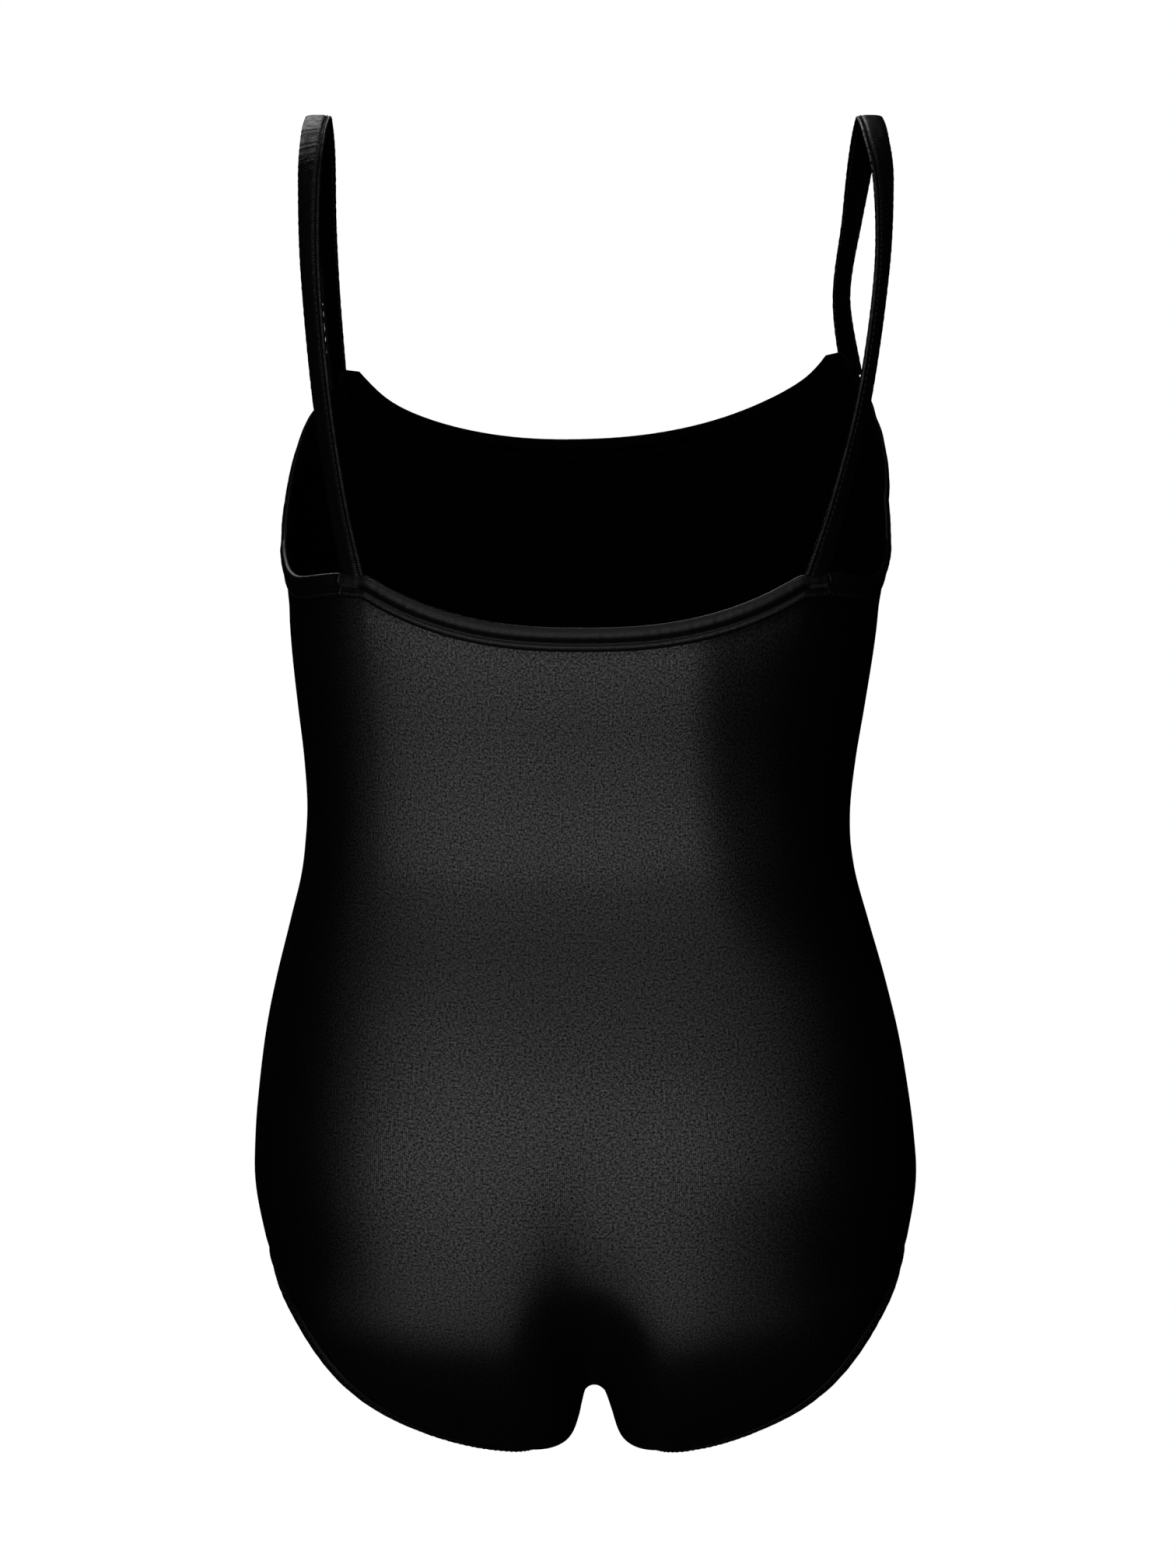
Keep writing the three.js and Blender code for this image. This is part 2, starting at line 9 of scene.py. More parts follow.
import bpy
import numpy as np
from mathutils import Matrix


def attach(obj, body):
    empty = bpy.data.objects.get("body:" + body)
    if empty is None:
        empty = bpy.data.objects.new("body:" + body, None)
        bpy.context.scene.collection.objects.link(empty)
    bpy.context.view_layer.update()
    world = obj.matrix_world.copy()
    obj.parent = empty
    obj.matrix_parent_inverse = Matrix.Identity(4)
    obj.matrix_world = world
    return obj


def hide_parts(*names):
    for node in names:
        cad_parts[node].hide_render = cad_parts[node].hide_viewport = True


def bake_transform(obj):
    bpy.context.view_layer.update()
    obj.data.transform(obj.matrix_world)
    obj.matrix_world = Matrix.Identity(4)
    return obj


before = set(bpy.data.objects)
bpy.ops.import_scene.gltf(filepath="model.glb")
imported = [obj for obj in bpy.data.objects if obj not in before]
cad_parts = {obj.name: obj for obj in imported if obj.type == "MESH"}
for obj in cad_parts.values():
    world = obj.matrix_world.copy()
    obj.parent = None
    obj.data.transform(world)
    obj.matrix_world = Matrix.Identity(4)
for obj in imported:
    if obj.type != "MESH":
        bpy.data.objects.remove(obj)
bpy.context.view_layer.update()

bl_info = {
    "name": "Gymnastics leotard",
    "version": (1, 0, 0),
    "blender": (4, 5, 0),
    "location": "3D View > Sidebar > Leotard",
    "description": "Builds a bound camisole leotard over its packed part",
    "category": "Object",
}

MM = 0.001
BODICE = "bodice"

# ---------------------------------------------------------------- sizes of the torso

# Horizontal sections every SECTION_STEP below SECTION_TOP.
SECTION_TOP = 190
SECTION_STEP = 20
HALF_WIDTHS = [107, 109.5, 111.5, 112.6, 112.3, 110.7, 108.5, 105.8, 103, 101.5, 103.1, 108,
               113.3, 117.8, 120.9, 123, 123.4, 119.4, 114]
BACK_DEPTHS = [78, 81, 83, 84, 84, 82, 79, 75, 70.5, 68, 69.5, 75, 82, 88.5, 94, 97.5, 98, 95, 90]
FRONT_DEPTHS = [70, 76, 82, 86, 88, 87, 84.5, 82, 80.5, 80, 80.5, 82, 83, 83.5, 83, 82, 80.5, 79,
                77]
BACK_POWER = 3.0
FRONT_POWER = 2.4

# Below SEAT_Z the torso is a fan of planes about a line along X. The tables have an entry every
# FAN_STEP degrees, from one step above the back (0) through the crotch (90) past the front (180).
SEAT_Z = -151
FAN_STEP = 30
LOBE_RADII = [111, 95, 92, 85.8, 72.6, 70, 73, 79, 80]
CLEFT_DEPTHS = [19, 3, 19, 27, 20.5, 9, 2, 0, 2]
CLEFT_HALF_WIDTHS = [17, 20, 17, 13.5, 6.9, 14, 20, 20, 20]
FAN_POWERS = [2.8, 3, 2.8, 2.5, 2.1, 2.2, 2.3, 2.4, 2.3]
CLEFT_POWERS = [1.9, 1.9, 1.9, 2, 3.2, 2.4, 2, 2, 2]
CLEFT_RISE = 60

# The leg edge: shares of the half section and angles in the fan, from the side over the seat to
# the crotch at LEG_CROTCH_KEY and up the groin to the side.
LEG_SHARES = [1, 0.81, 0.69, 0.6, 0.51, 0.42, 0.33, 0.245, 0.17, 0.125, 0.11,
              0.118, 0.145, 0.195, 0.27, 0.37, 0.49, 0.62, 0.75, 0.88, 1]
LEG_ANGLES = [0, 12, 23.5, 33.5, 43, 51.5, 58, 63.5, 69.5, 78, 90,
              103, 114, 123, 131, 139, 147.5, 156, 164.5, 172, 180]
LEG_CROTCH_KEY = 10

# The top edge: shares of the half section, heights and the power of the neck's curve.
TOPS = {
    True: {"middle": 70.9, "corner": 90.5, "power": 2.5, "neck_end": 0.5, "arm_start": 0.565},
    False: {"middle": 147.2, "corner": 176.4, "power": 2.2, "neck_end": 0.65, "arm_start": 0.69},
}
ARM_EDGE = [91.5, 91.8, 105.5, 131, 164]
ARM_SEAM_KEY = 2
FRONT_TILT = 5
# The front's corners move to the wearer's right, above and in front of these borders.
FRONT_CORNER_SHIFT = 2.8
CORNER_HEIGHTS = (156, 172)
CORNER_FORWARD = (0, 40)

# How far the garment leans to the wearer's left, by height, and its crotch by itself.
LEAN_HEIGHTS = [-230, -160, -120, -60, 0, 60, 110, 160, 280]
LEAN = [-0.8, -0.4, 0.2, 2.0, 3.0, 1.6, 0.2, 0, 0]
CROTCH_LEAN_HEIGHTS = [-215, -165]
CROTCH_LEAN = [-3.2, 0]
CROTCH_REACH = 42
# How much wider each side of the chest is, by height.
CHEST_HEIGHTS = [88, 105, 125, 140, 152, 160, 175, 190]
CHEST_LEFT = [0, 1.6, 1.7, 2.3, 2.4, 2.2, 1.0, 0]
CHEST_RIGHT = [0, 1.8, 1.9, 4.0, 5.0, 4.8, 2.2, 0]

# ---------------------------------------------------------------- numbers from tables


def from_table(values, place):
    """Catmull-Rom curve through evenly spaced values: in each span the cubic whose end slopes are
    half the step across the neighbours."""
    values = np.asarray(values, float)
    last = len(values) - 1
    place = np.clip(place, 0, last)
    index = np.minimum(np.floor(place).astype(int), last - 1)
    share = place - index
    if values.ndim > 1:
        share = share[..., None]
    start, end = values[index], values[index + 1]
    slope_in = (end - values[np.maximum(index - 1, 0)]) / 2
    slope_out = (values[np.minimum(index + 2, last)] - start) / 2
    bend = 3 * (end - start) - 2 * slope_in - slope_out
    twist = slope_in + slope_out - 2 * (end - start)
    return start + share * (slope_in + share * (bend + share * twist))


def smoothstep(value, low, high):
    """3 t^2 - 2 t^3 of the clamped share t of value between low and high."""
    part = np.clip((value - low) / (high - low), 0, 1)
    return part * part * (3 - 2 * part)


def running(steps):
    """Running lengths of a row of steps, from 0."""
    return np.concatenate([[0], np.cumsum(steps)])


def lengths_along(points):
    """Running lengths of a line through points."""
    return running(np.linalg.norm(np.diff(points, axis=0), axis=-1))


def unit(vectors):
    """Vectors over their own length."""
    return vectors / np.maximum(np.linalg.norm(vectors, axis=-1, keepdims=True), 1e-9)


def square_to(vectors, along):
    """Unit vectors at right angles to others: v - (v . a) a, over its length."""
    return unit(vectors - (vectors * along).sum(-1, keepdims=True) * along)


def spaced(places, lengths, points):
    """Points of a line at new places, each coordinate interpolated over the line's lengths."""
    return np.stack([np.interp(places, lengths, points[:, i]) for i in range(3)], axis=-1)


def rounded(value, power):
    """sign(v) |v|^p, which squares off a circle's sine and cosine."""
    return np.sign(value) * np.abs(value) ** power


def mirrored(*grids):
    """Points or directions on the garment's other side: x changes its sign."""
    return [grid * [-1, 1, 1] for grid in grids]


def half_width(z):
    """Half the torso's width at height z."""
    return from_table(HALF_WIDTHS, (SECTION_TOP - z) / SECTION_STEP)


def depth(z, is_back):
    """How far the torso reaches back or forward at height z."""
    place = (SECTION_TOP - z) / SECTION_STEP
    return np.where(is_back, from_table(BACK_DEPTHS, place), from_table(FRONT_DEPTHS, place))


def superellipse(across, power):
    """(1 - |a|^p)^(1/p): the height of a unit superellipse over a."""
    return np.maximum(0, 1 - np.abs(across) ** power) ** (1 / power)


QUARTER_STEPS = 240
QUARTER_DEPTH_SHARE = 0.78


def quarter_table(power):
    """Places and running lengths along a quarter of a superellipse a little wider than deep."""
    turn = np.linspace(0, math.pi / 2, QUARTER_STEPS + 1)
    across = np.sin(turn) ** (2 / power)
    rise = superellipse(across, power) * QUARTER_DEPTH_SHARE
    return across, lengths_along(np.stack([across, rise], axis=-1))


QUARTERS = {True: quarter_table(BACK_POWER), False: quarter_table(FRONT_POWER)}


def across_at(share, is_back):
    """The place across a half section, from 0 to 1, that has this share of its length."""
    across, lengths = QUARTERS[is_back]
    return np.sign(share) * np.interp(np.abs(share) * lengths[-1], lengths, across)


SEAT_HALF_WIDTH = float(half_width(SEAT_Z))


def cleft(x, place):
    """The seat's cleft: depth times exp(-|x / w|^p), at a place in the fan's tables."""
    off_middle = np.abs(x) / from_table(CLEFT_HALF_WIDTHS, place)
    fall = off_middle ** from_table(CLEFT_POWERS, place)
    return from_table(CLEFT_DEPTHS, place) * np.exp(-fall)


def seat_point(share, angle, is_back):
    """A point of the fan: radius R(x, angle) = lobe times superellipse less the cleft, laid out as
    y = R cos(angle), z = seat height - R sin(angle)."""
    x = SEAT_HALF_WIDTH * across_at(share, is_back)
    place = angle / FAN_STEP + 1
    radius = from_table(LOBE_RADII, place) * superellipse(
        x / SEAT_HALF_WIDTH, from_table(FAN_POWERS, place)
    )
    radius = np.maximum(0, radius - cleft(x, place))
    turn = np.radians(angle)
    return np.stack([x, radius * np.cos(turn), SEAT_Z - radius * np.sin(turn)], axis=-1)


def torso_point(share, z, is_back):
    """A point of a section: x = w a, y = d (1 - |a|^p)^(1/p), less the cleft that fades upwards."""
    across = across_at(share, is_back)
    power = BACK_POWER if is_back else FRONT_POWER
    deep = depth(z, is_back) * superellipse(across, power)
    if is_back:
        fade = 1 - smoothstep(z, SEAT_Z, SEAT_Z + CLEFT_RISE)
        deep = deep - fade * cleft(across * SEAT_HALF_WIDTH, np.ones_like(z))
    side = 1 if is_back else -1
    return np.stack([half_width(z) * across, side * deep, z], axis=-1)


def top_edge(share, is_back):
    """Height of the cloth's top edge: a power curve under the neck, then the armhole's table."""
    top = TOPS[is_back]
    away = np.abs(share)
    neck = top["middle"] + (top["corner"] - top["middle"]) * (
        np.minimum(away / top["neck_end"], 1) ** top["power"]
    )
    arm_corner = ARM_EDGE[0] if is_back else ARM_EDGE[-1]
    part = (away - top["neck_end"]) / (top["arm_start"] - top["neck_end"])
    corner = top["corner"] + (arm_corner - top["corner"]) * np.clip(part, 0, 1)
    from_seam = (1 - away) / (1 - top["arm_start"])
    sign = -1 if is_back else 1
    arm = from_table(ARM_EDGE, ARM_SEAM_KEY + sign * ARM_SEAM_KEY * from_seam)
    edge = np.where(away <= top["neck_end"], neck, np.where(away <= top["arm_start"], corner, arm))
    if is_back:
        return edge
    return edge - FRONT_TILT * share * (1 - smoothstep(away, top["arm_start"], 1))


def lean(points):
    """Points moved along X: by the garment's lean at their height, by the crotch's own lean times
    exp(-(x / reach)^2), outwards in proportion to x where a side of the chest is wider, and to the
    wearer's right at the front corners."""
    x, z = points[..., 0], points[..., 2]
    shift = np.interp(z, LEAN_HEIGHTS, LEAN)
    at_crotch = np.interp(z, CROTCH_LEAN_HEIGHTS, CROTCH_LEAN)
    shift = shift + at_crotch * np.exp(-((x / CROTCH_REACH) ** 2))
    wider = np.where(x > 0, np.interp(z, CHEST_HEIGHTS, CHEST_LEFT),
                     np.interp(z, CHEST_HEIGHTS, CHEST_RIGHT))
    corner = smoothstep(z, *CORNER_HEIGHTS) * smoothstep(-points[..., 1], *CORNER_FORWARD)
    moved = points.copy()
    moved[..., 0] = x + shift + wider * x / half_width(z) - FRONT_CORNER_SHIFT * corner
    return moved


# ---------------------------------------------------------------- the cloth

EDGE_DIP = 1.5
EDGE_DIP_REACH = 12
VALLEY = 0.6
VALLEY_BELOW = 4
VALLEY_REACH = 1.5
HEM_PULL = 1.8
HEM_REACH = 12
HEM_SIDES = (84, 110)
NECK_PUCKER_REACH = 7
LEG_PUCKER_REACH = 5
LEG_PUCKER_SHARE = 0.6
# A faint drag line under the back neck: depth, then centre and reach along X and Z.
DRAG_DEPTH = 0.25
DRAG_X = (19, 3.2)
DRAG_Z = (60, 12)
UNEVENNESS = 0.12
SOFTEN_ROWS = 7
SOFTEN_TIMES = 60
BODY_ROWS = 92
FAN_ROWS = 62
NECK_COLUMNS = 56
CORNER_COLUMNS = 6
ARM_COLUMNS = 52


def half_shares(is_back):
    """Column shares from the middle to the side seam, with one at each corner of the top edge."""
    top = TOPS[is_back]
    return np.concatenate([
        np.linspace(0, top["neck_end"], NECK_COLUMNS + 1),
        np.linspace(top["neck_end"], top["arm_start"], CORNER_COLUMNS + 1)[1:],
        np.linspace(top["arm_start"], 1, ARM_COLUMNS + 1)[1:],
    ])


def grid_normals(points):
    """Unit normals of a grid: the cross product of its two directions' differences."""
    return unit(np.cross(np.gradient(points, axis=0), np.gradient(points, axis=1)))


def soften_seat(points, shares):
    """Each row near the seat height moved to the mean of its neighbours, again and again, so the
    sections run into the fan without a crease. The leg edge keeps its place."""
    rows = np.arange(points.shape[1])
    weight = np.exp(-(((rows - BODY_ROWS) / SOFTEN_ROWS) ** 2))[None, 1:-1, None]
    weight = 0.5 * weight * (1 - np.abs(shares) ** 10)[:, None, None]
    for _ in range(SOFTEN_TIMES):
        mean = (points[:, :-2] + points[:, 2:]) / 2
        points[:, 1:-1] += weight * (mean - points[:, 1:-1])
    return points


def wave(position, length, phase=0.0):
    """A sine wave of a given length."""
    return np.sin(2 * math.pi * position / length + phase)


def gathers(along, below, reach, height):
    """Small puckers next to a bound edge: two sine waves along it times exp(-distance / reach)."""
    ripple = 0.6 * wave(along, 4.3) + 0.4 * wave(along, 6.9, 1.3) * wave(along, 31)
    return height * ripple * np.exp(-np.maximum(below, 0) / reach)


def cloth_grid(is_back, pucker):
    """The middle of the back or front cloth as a grid from one side seam to the other and from the
    top edge to the crotch seam, and its outward normals. Small folds move it along them."""
    half = half_shares(is_back)
    shares = np.concatenate([-half[:0:-1], half])
    share = shares[:, None]
    down = (np.arange(BODY_ROWS + 1) / BODY_ROWS)[None, :]
    top = top_edge(share, is_back)
    body = torso_point(share + 0 * down, top + (SEAT_Z - top) * down, is_back)
    keys = np.linspace(0, LEG_CROTCH_KEY, 201)
    if not is_back:
        keys = 2 * LEG_CROTCH_KEY - keys
    angles = from_table(LEG_ANGLES, keys)
    wanted = np.linspace(angles[0], angles[-1], FAN_ROWS + 1)[1:]
    order = np.argsort(angles)
    row_keys = np.interp(wanted, angles[order], keys[order])
    narrow = from_table(LEG_SHARES, row_keys)[None, :]
    fan = seat_point(share * narrow, wanted[None, :] + 0 * share, is_back)
    points = lean(soften_seat(np.concatenate([body, fan], axis=1), shares))
    normals = grid_normals(points)
    if normals[len(shares) // 2, BODY_ROWS // 2, 1] * (1 if is_back else -1) < 0:
        normals = -normals
    steps = np.linalg.norm(np.diff(points, axis=0), axis=-1)
    along = np.concatenate([np.zeros((1, points.shape[1])), np.cumsum(steps, axis=0)])
    rows = np.linalg.norm(np.diff(points, axis=1), axis=-1)
    below = np.concatenate([np.zeros((len(shares), 1)), np.cumsum(rows, axis=1)], axis=1)
    move = gathers(along, below, NECK_PUCKER_REACH, pucker)
    move = move - EDGE_DIP * np.exp(-((below / EDGE_DIP_REACH) ** 2))
    move = move - VALLEY * np.exp(-(((below - VALLEY_BELOW) / VALLEY_REACH) ** 2))
    to_leg = np.minimum(along, along[-1] - along)
    in_fan = smoothstep(np.arange(points.shape[1]), BODY_ROWS, BODY_ROWS + 6)[None, :]
    leg_pucker = LEG_PUCKER_SHARE * pucker
    move = move + in_fan * gathers(below, to_leg, LEG_PUCKER_REACH, leg_pucker)
    x, z = points[..., 0], points[..., 2]
    above = np.maximum(below[:, BODY_ROWS:BODY_ROWS + 1] - below, 0)
    to_hem = np.hypot(to_leg, above)
    pull = HEM_PULL * smoothstep(np.abs(x), *HEM_SIDES) * np.exp(-((to_hem / HEM_REACH) ** 2))
    if is_back:
        off = ((x - DRAG_X[0]) / DRAG_X[1]) ** 2 + ((z - DRAG_Z[0]) / DRAG_Z[1]) ** 2
        move = move - DRAG_DEPTH * np.exp(-off)
    move = move + UNEVENNESS * wave(z + 0.35 * x, 131) * wave(x - 0.2 * z, 117, 0.8)
    points = points + move[..., None] * normals
    points[..., 0] -= pull * np.sign(x)
    return points, normals, shares


def grid_faces(columns, rows, first=0, wrap_columns=False, wrap_rows=False):
    """Quads between neighbouring points of a grid that is stored column by column."""
    index = first + np.arange(columns * rows).reshape(columns, rows)
    if wrap_columns:
        index = np.concatenate([index, index[:1]])
    if wrap_rows:
        index = np.concatenate([index, index[:, :1]], axis=1)
    corners = [index[:-1, :-1], index[1:, :-1], index[1:, 1:], index[:-1, 1:]]
    return np.stack(corners, axis=-1).reshape(-1, 4)


def slab(outer, inner):
    """Points and quads of a closed sheet between two grids: both faces and the rim round them."""
    columns, rows = outer.shape[:2]
    count = columns * rows
    index = np.arange(count).reshape(columns, rows)
    ring = np.concatenate([index[:, 0], index[-1, 1:], index[-2::-1, -1], index[0, -2:0:-1]])
    following = np.roll(ring, -1)
    rim = np.stack([following, ring, ring + count, following + count], axis=-1)
    top = grid_faces(columns, rows)
    bottom = grid_faces(columns, rows, first=count)[:, ::-1]
    points = np.concatenate([outer.reshape(-1, 3), inner.reshape(-1, 3)])
    return points, [top, bottom, rim]


def swept(sections, closed):
    """Points, quads and end caps of a closed section carried along a path."""
    stations, around = sections.shape[:2]
    quads = grid_faces(stations, around, wrap_columns=closed, wrap_rows=True)
    ring = np.arange(around)
    caps = [] if closed else [ring[::-1], ring + (stations - 1) * around]
    return sections.reshape(-1, 3), quads, caps


def signed_volume(points, quads):
    """Six times the volume inside the quads, positive if they face out."""
    a, b, c, d = (points[quads[:, i]] for i in range(4))
    return float((a * np.cross(b, c)).sum() + (a * np.cross(c, d)).sum())


def add_mesh(name, points, quads, caps=(), uv=None, indices=None, materials=()):
    """A mesh object at the origin from points in millimetres, with every face turned outwards."""
    if signed_volume(points, quads) < 0:
        quads = quads[:, ::-1]
        caps = [cap[::-1] for cap in caps]
    faces = quads.tolist() + [cap.tolist() for cap in caps]
    mesh = bpy.data.meshes.new(name)
    mesh.from_pydata((points * MM).tolist(), [], faces)
    if uv is not None:
        corners = np.zeros(len(mesh.loops), np.int32)
        mesh.loops.foreach_get("vertex_index", corners)
        layer = mesh.uv_layers.new(name="cloth")
        layer.data.foreach_set("uv", (uv * MM)[corners].astype(np.float32).ravel())
    for material in materials:
        mesh.materials.append(material)
    if indices is not None:
        mesh.polygons.foreach_set("material_index", indices.astype(np.int32))
    mesh.shade_smooth()
    mesh.update()
    piece = bpy.data.objects.new(name, mesh)
    bpy.context.scene.collection.objects.link(piece)
    return piece


def stand_for(piece, slot, *nodes, body=BODICE):
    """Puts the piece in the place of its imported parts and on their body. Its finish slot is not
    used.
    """
    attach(piece, body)
    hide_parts(*nodes)
    return piece


# ---------------------------------------------------------------- paths along the edges


def edge_path(points, normals, inner, spacing, closed=False):
    """Even stations along an edge of the cloth: points, outward directions, directions into the
    cloth (out cross along) and running lengths. inner holds points a little inside the edge."""
    if closed:
        points, normals, inner = (
            np.concatenate([grid, grid[:1]]) for grid in (points, normals, inner)
        )
    steps = np.linalg.norm(np.diff(points, axis=0), axis=1)
    keep = np.concatenate([[True], steps > 1e-6])
    points, normals, inner = points[keep], normals[keep], inner[keep]
    lengths = running(steps[keep[1:]])
    count = max(8, round(lengths[-1] / spacing))
    at = np.linspace(0, lengths[-1], count + 1)
    if closed:
        at = at[:-1]
    point, out, into = (spaced(at, lengths, grid) for grid in (points, normals, inner))
    if closed:
        along = np.roll(point, -1, axis=0) - np.roll(point, 1, axis=0)
    else:
        along = np.gradient(point, axis=0)
    along = unit(along)
    out = square_to(out, along)
    down = np.cross(out, along)
    if ((into - point) * down).sum() < 0:
        down = -down
    return {"point": point, "out": out, "down": down, "length": at, "closed": closed,
            "whole": float(lengths[-1])}


def eased(values, times):
    """Values along a path, each replaced again and again by the mean of it and its neighbours."""
    for _ in range(times):
        middle = (values[:-2] + 2 * values[1:-1] + values[2:]) / 4
        values = np.concatenate([values[:1], middle, values[-1:]])
    return values


def beside(path, out, down):
    """Points beside a path: point + out times its outward direction + down times its downward one.
    out and down may have one value for each station and each point of a section."""
    out, down = np.broadcast_arrays(np.asarray(out, float), np.asarray(down, float))
    return (path["point"][:, None, :] + out[..., None] * path["out"][:, None, :]
            + down[..., None] * path["down"][:, None, :])


# The outside half of a folded binding's middle line, from its lower edge over the stitched ridge
# and the groove to the top of the roll: [out, down].
FOLD_HALF = np.array([
    [0.75, 1.5], [1.0, 1.05], [1.35, 0.4], [1.3, -0.35], [0.75, -0.9], [0.6, -1.45],
    [0.95, -2.2], [1.55, -3.1], [1.9, -4.0], [1.85, -5.05], [1.35, -6.15], [0.7, -6.8], [0, -6.95],
])
BINDING = 0.55
FOLD_POINTS = 34


def fold_line(puff):
    """The middle line of a folded binding, Catmull-Rom through the half and its mirror image."""
    half = FOLD_HALF.copy()
    roll = smoothstep(-half[:, 1], 0.8, 2.4)
    half[:, 0] *= 1 + (puff - 1) * roll
    whole = np.concatenate([half, half[-2::-1] * [-1, 1]])
    return from_table(whole, np.linspace(0, len(whole) - 1, 2 * FOLD_POINTS + 1))


def fold_sections(path, puff, shirr, tilt):
    """A folded binding's closed section at each station: its middle line moved by half the cloth
    to each side along its own normal, shirred by small waves along the path, and tilted inwards
    in proportion to its height above the cloth's edge."""
    line = fold_line(puff)
    along = unit(np.gradient(line, axis=0))
    side = np.stack([along[:, 1], -along[:, 0]], axis=-1)
    ring = np.concatenate([line + side * BINDING / 2, (line - side * BINDING / 2)[::-1]])
    s = path["length"][:, None]
    ripple = 0.55 * wave(s, 3.1) * wave(s, 23, 0.4) + 0.45 * wave(s, 5.3, 1.1)
    where = np.exp(-(((ring[:, 1] + 1.5) / 1.4) ** 2))[None, :]
    out = ring[None, :, 0] * (1 + shirr * ripple * (0.35 + where))
    out = out - tilt * np.maximum(-ring[None, :, 1], 0)
    down = ring[None, :, 1] + 0.12 * shirr * ripple
    return beside(path, out, down), lengths_along(ring)


def section_uv(path, around):
    """Texture places of a swept piece: length along the path and length round the section."""
    u = np.repeat(path["length"], len(around))
    return np.stack([u, np.tile(around, len(path["length"]))], axis=-1)


def add_binding(name, path, settings, puff, tilt):
    """A folded binding along an edge. The half of its fold that lies inside the garment is duller,
    and the darker colour that it has there is painted shade."""
    sections, around = fold_sections(path, puff, settings.shirring, tilt)
    points, quads, caps = swept(sections, path["closed"])
    line = np.arange(2 * FOLD_POINTS + 1)
    # The fold's inner half takes the inside finish, whose darker colour is painted shade.
    is_inside = np.concatenate([line, line[::-1]]) > FOLD_POINTS + 1
    indices = np.concatenate([np.tile(is_inside, len(quads) // len(around)), np.zeros(len(caps))])
    piece = add_mesh(name, points, quads, caps, section_uv(path, around), indices,
                     [trim_finish(settings), trim_finish(settings, inside=True)])
    return piece


ELASTIC_SPAN = (-5.3, -1.9)
ELASTIC_HALF = 0.35


def strip_sections(path, middle_out, half_out, top, bottom, points=12):
    """A flat strip's section: a rounded oblong, cos and sin to the power 0.4, at each station."""
    turn = np.linspace(0, 2 * math.pi, points, endpoint=False) + math.pi / points
    out = middle_out + half_out * rounded(np.cos(turn), 0.4)
    down = (top + bottom) / 2 + (bottom - top) / 2 * rounded(np.sin(turn), 0.4)
    shape = (len(path["length"]), points)
    around = np.linspace(0, 2 * (bottom - top), points)
    return beside(path, np.broadcast_to(out, shape), np.broadcast_to(down, shape)), around


def add_strip(name, path, middle_out, half_out, top, bottom, material):
    """A flat strip along a path, as its own piece."""
    sections, around = strip_sections(path, middle_out, half_out, top, bottom)
    points, quads, caps = swept(sections, path["closed"])
    return add_mesh(name, points, quads, caps, section_uv(path, around), materials=[material])


STITCH_STEPS = 6
STITCH_SIDES = 6


def stitch_points(starts, directions, outs, length, height, radius):
    """Stitches as small arched tubes: the middle line is start + t length, raised by
    height (1 - (2t - 1)^2), and the radius shrinks to its ends as (1 - (2t - 1)^6)^(1/2)."""
    t = np.linspace(0, 1, STITCH_STEPS)
    arch = height * (1 - (2 * t - 1) ** 2)
    size = radius * np.sqrt(np.maximum(0.05, 1 - (2 * t - 1) ** 6))
    middle = (starts[:, None, :] + (t * length)[None, :, None] * directions[:, None, :]
              + arch[None, :, None] * outs[:, None, :])
    across = np.cross(directions, outs)
    turn = np.linspace(0, 2 * math.pi, STITCH_SIDES, endpoint=False)
    ring = (np.cos(turn)[None, :, None] * across[:, None, :]
            + np.sin(turn)[None, :, None] * outs[:, None, :])
    return middle[:, :, None, :] + size[None, :, None, None] * ring[:, None, :, :]


def add_stitches(name, rows, material):
    """One piece from any number of stitches, each a closed tube."""
    tubes = np.concatenate(rows)
    count = len(tubes)
    size = STITCH_STEPS * STITCH_SIDES
    one = grid_faces(STITCH_STEPS, STITCH_SIDES, wrap_rows=True)
    quads = (one[None] + (size * np.arange(count))[:, None, None]).reshape(-1, 4)
    ring = np.arange(STITCH_SIDES)
    first = ring[::-1][None] + (size * np.arange(count))[:, None]
    last = (ring + size - STITCH_SIDES)[None] + (size * np.arange(count))[:, None]
    t = np.repeat(np.arange(STITCH_STEPS) * 0.4, STITCH_SIDES)
    uv = np.tile(np.stack([t, np.tile(ring * 0.15, STITCH_STEPS)], axis=-1), (count, 1))
    return add_mesh(name, tubes.reshape(-1, 3), quads, list(first) + list(last), uv,
                    materials=[material])


def row_of_stitches(path, out, down, settings, length_share=0.74):
    """A row of stitches beside a path, one at every pitch."""
    pitch = settings.stitch_pitch / MM
    whole = path["whole"]
    starts = np.arange(0.5 * pitch, whole - pitch, pitch)
    line = beside(path, np.array([[out]]), np.array([[down]]))[:, 0]
    start = spaced(starts, path["length"], line)
    end = spaced(starts + pitch * length_share, path["length"], line)
    along = unit(end - start)
    outs = square_to(spaced(starts, path["length"], path["out"]), along)
    radius = settings.thread / MM / 2
    return stitch_points(start, along, outs, pitch * length_share, 0.8 * radius, radius)


# ---------------------------------------------------------------- finishes


def add_node(tree, kind, inputs=(), **options):
    """A node with its options set and its inputs linked to sockets or given values."""
    made = tree.nodes.new(kind)
    for option, value in options.items():
        setattr(made, option, value)
    for key, value in dict(inputs).items():
        if isinstance(value, bpy.types.NodeSocket):
            tree.links.new(value, made.inputs[key])
        else:
            made.inputs[key].default_value = value
    return made


def math_node(tree, operation, first, second=0.0):
    """The result of one sum."""
    return add_node(tree, "ShaderNodeMath", {0: first, 1: second}, operation=operation).outputs[0]


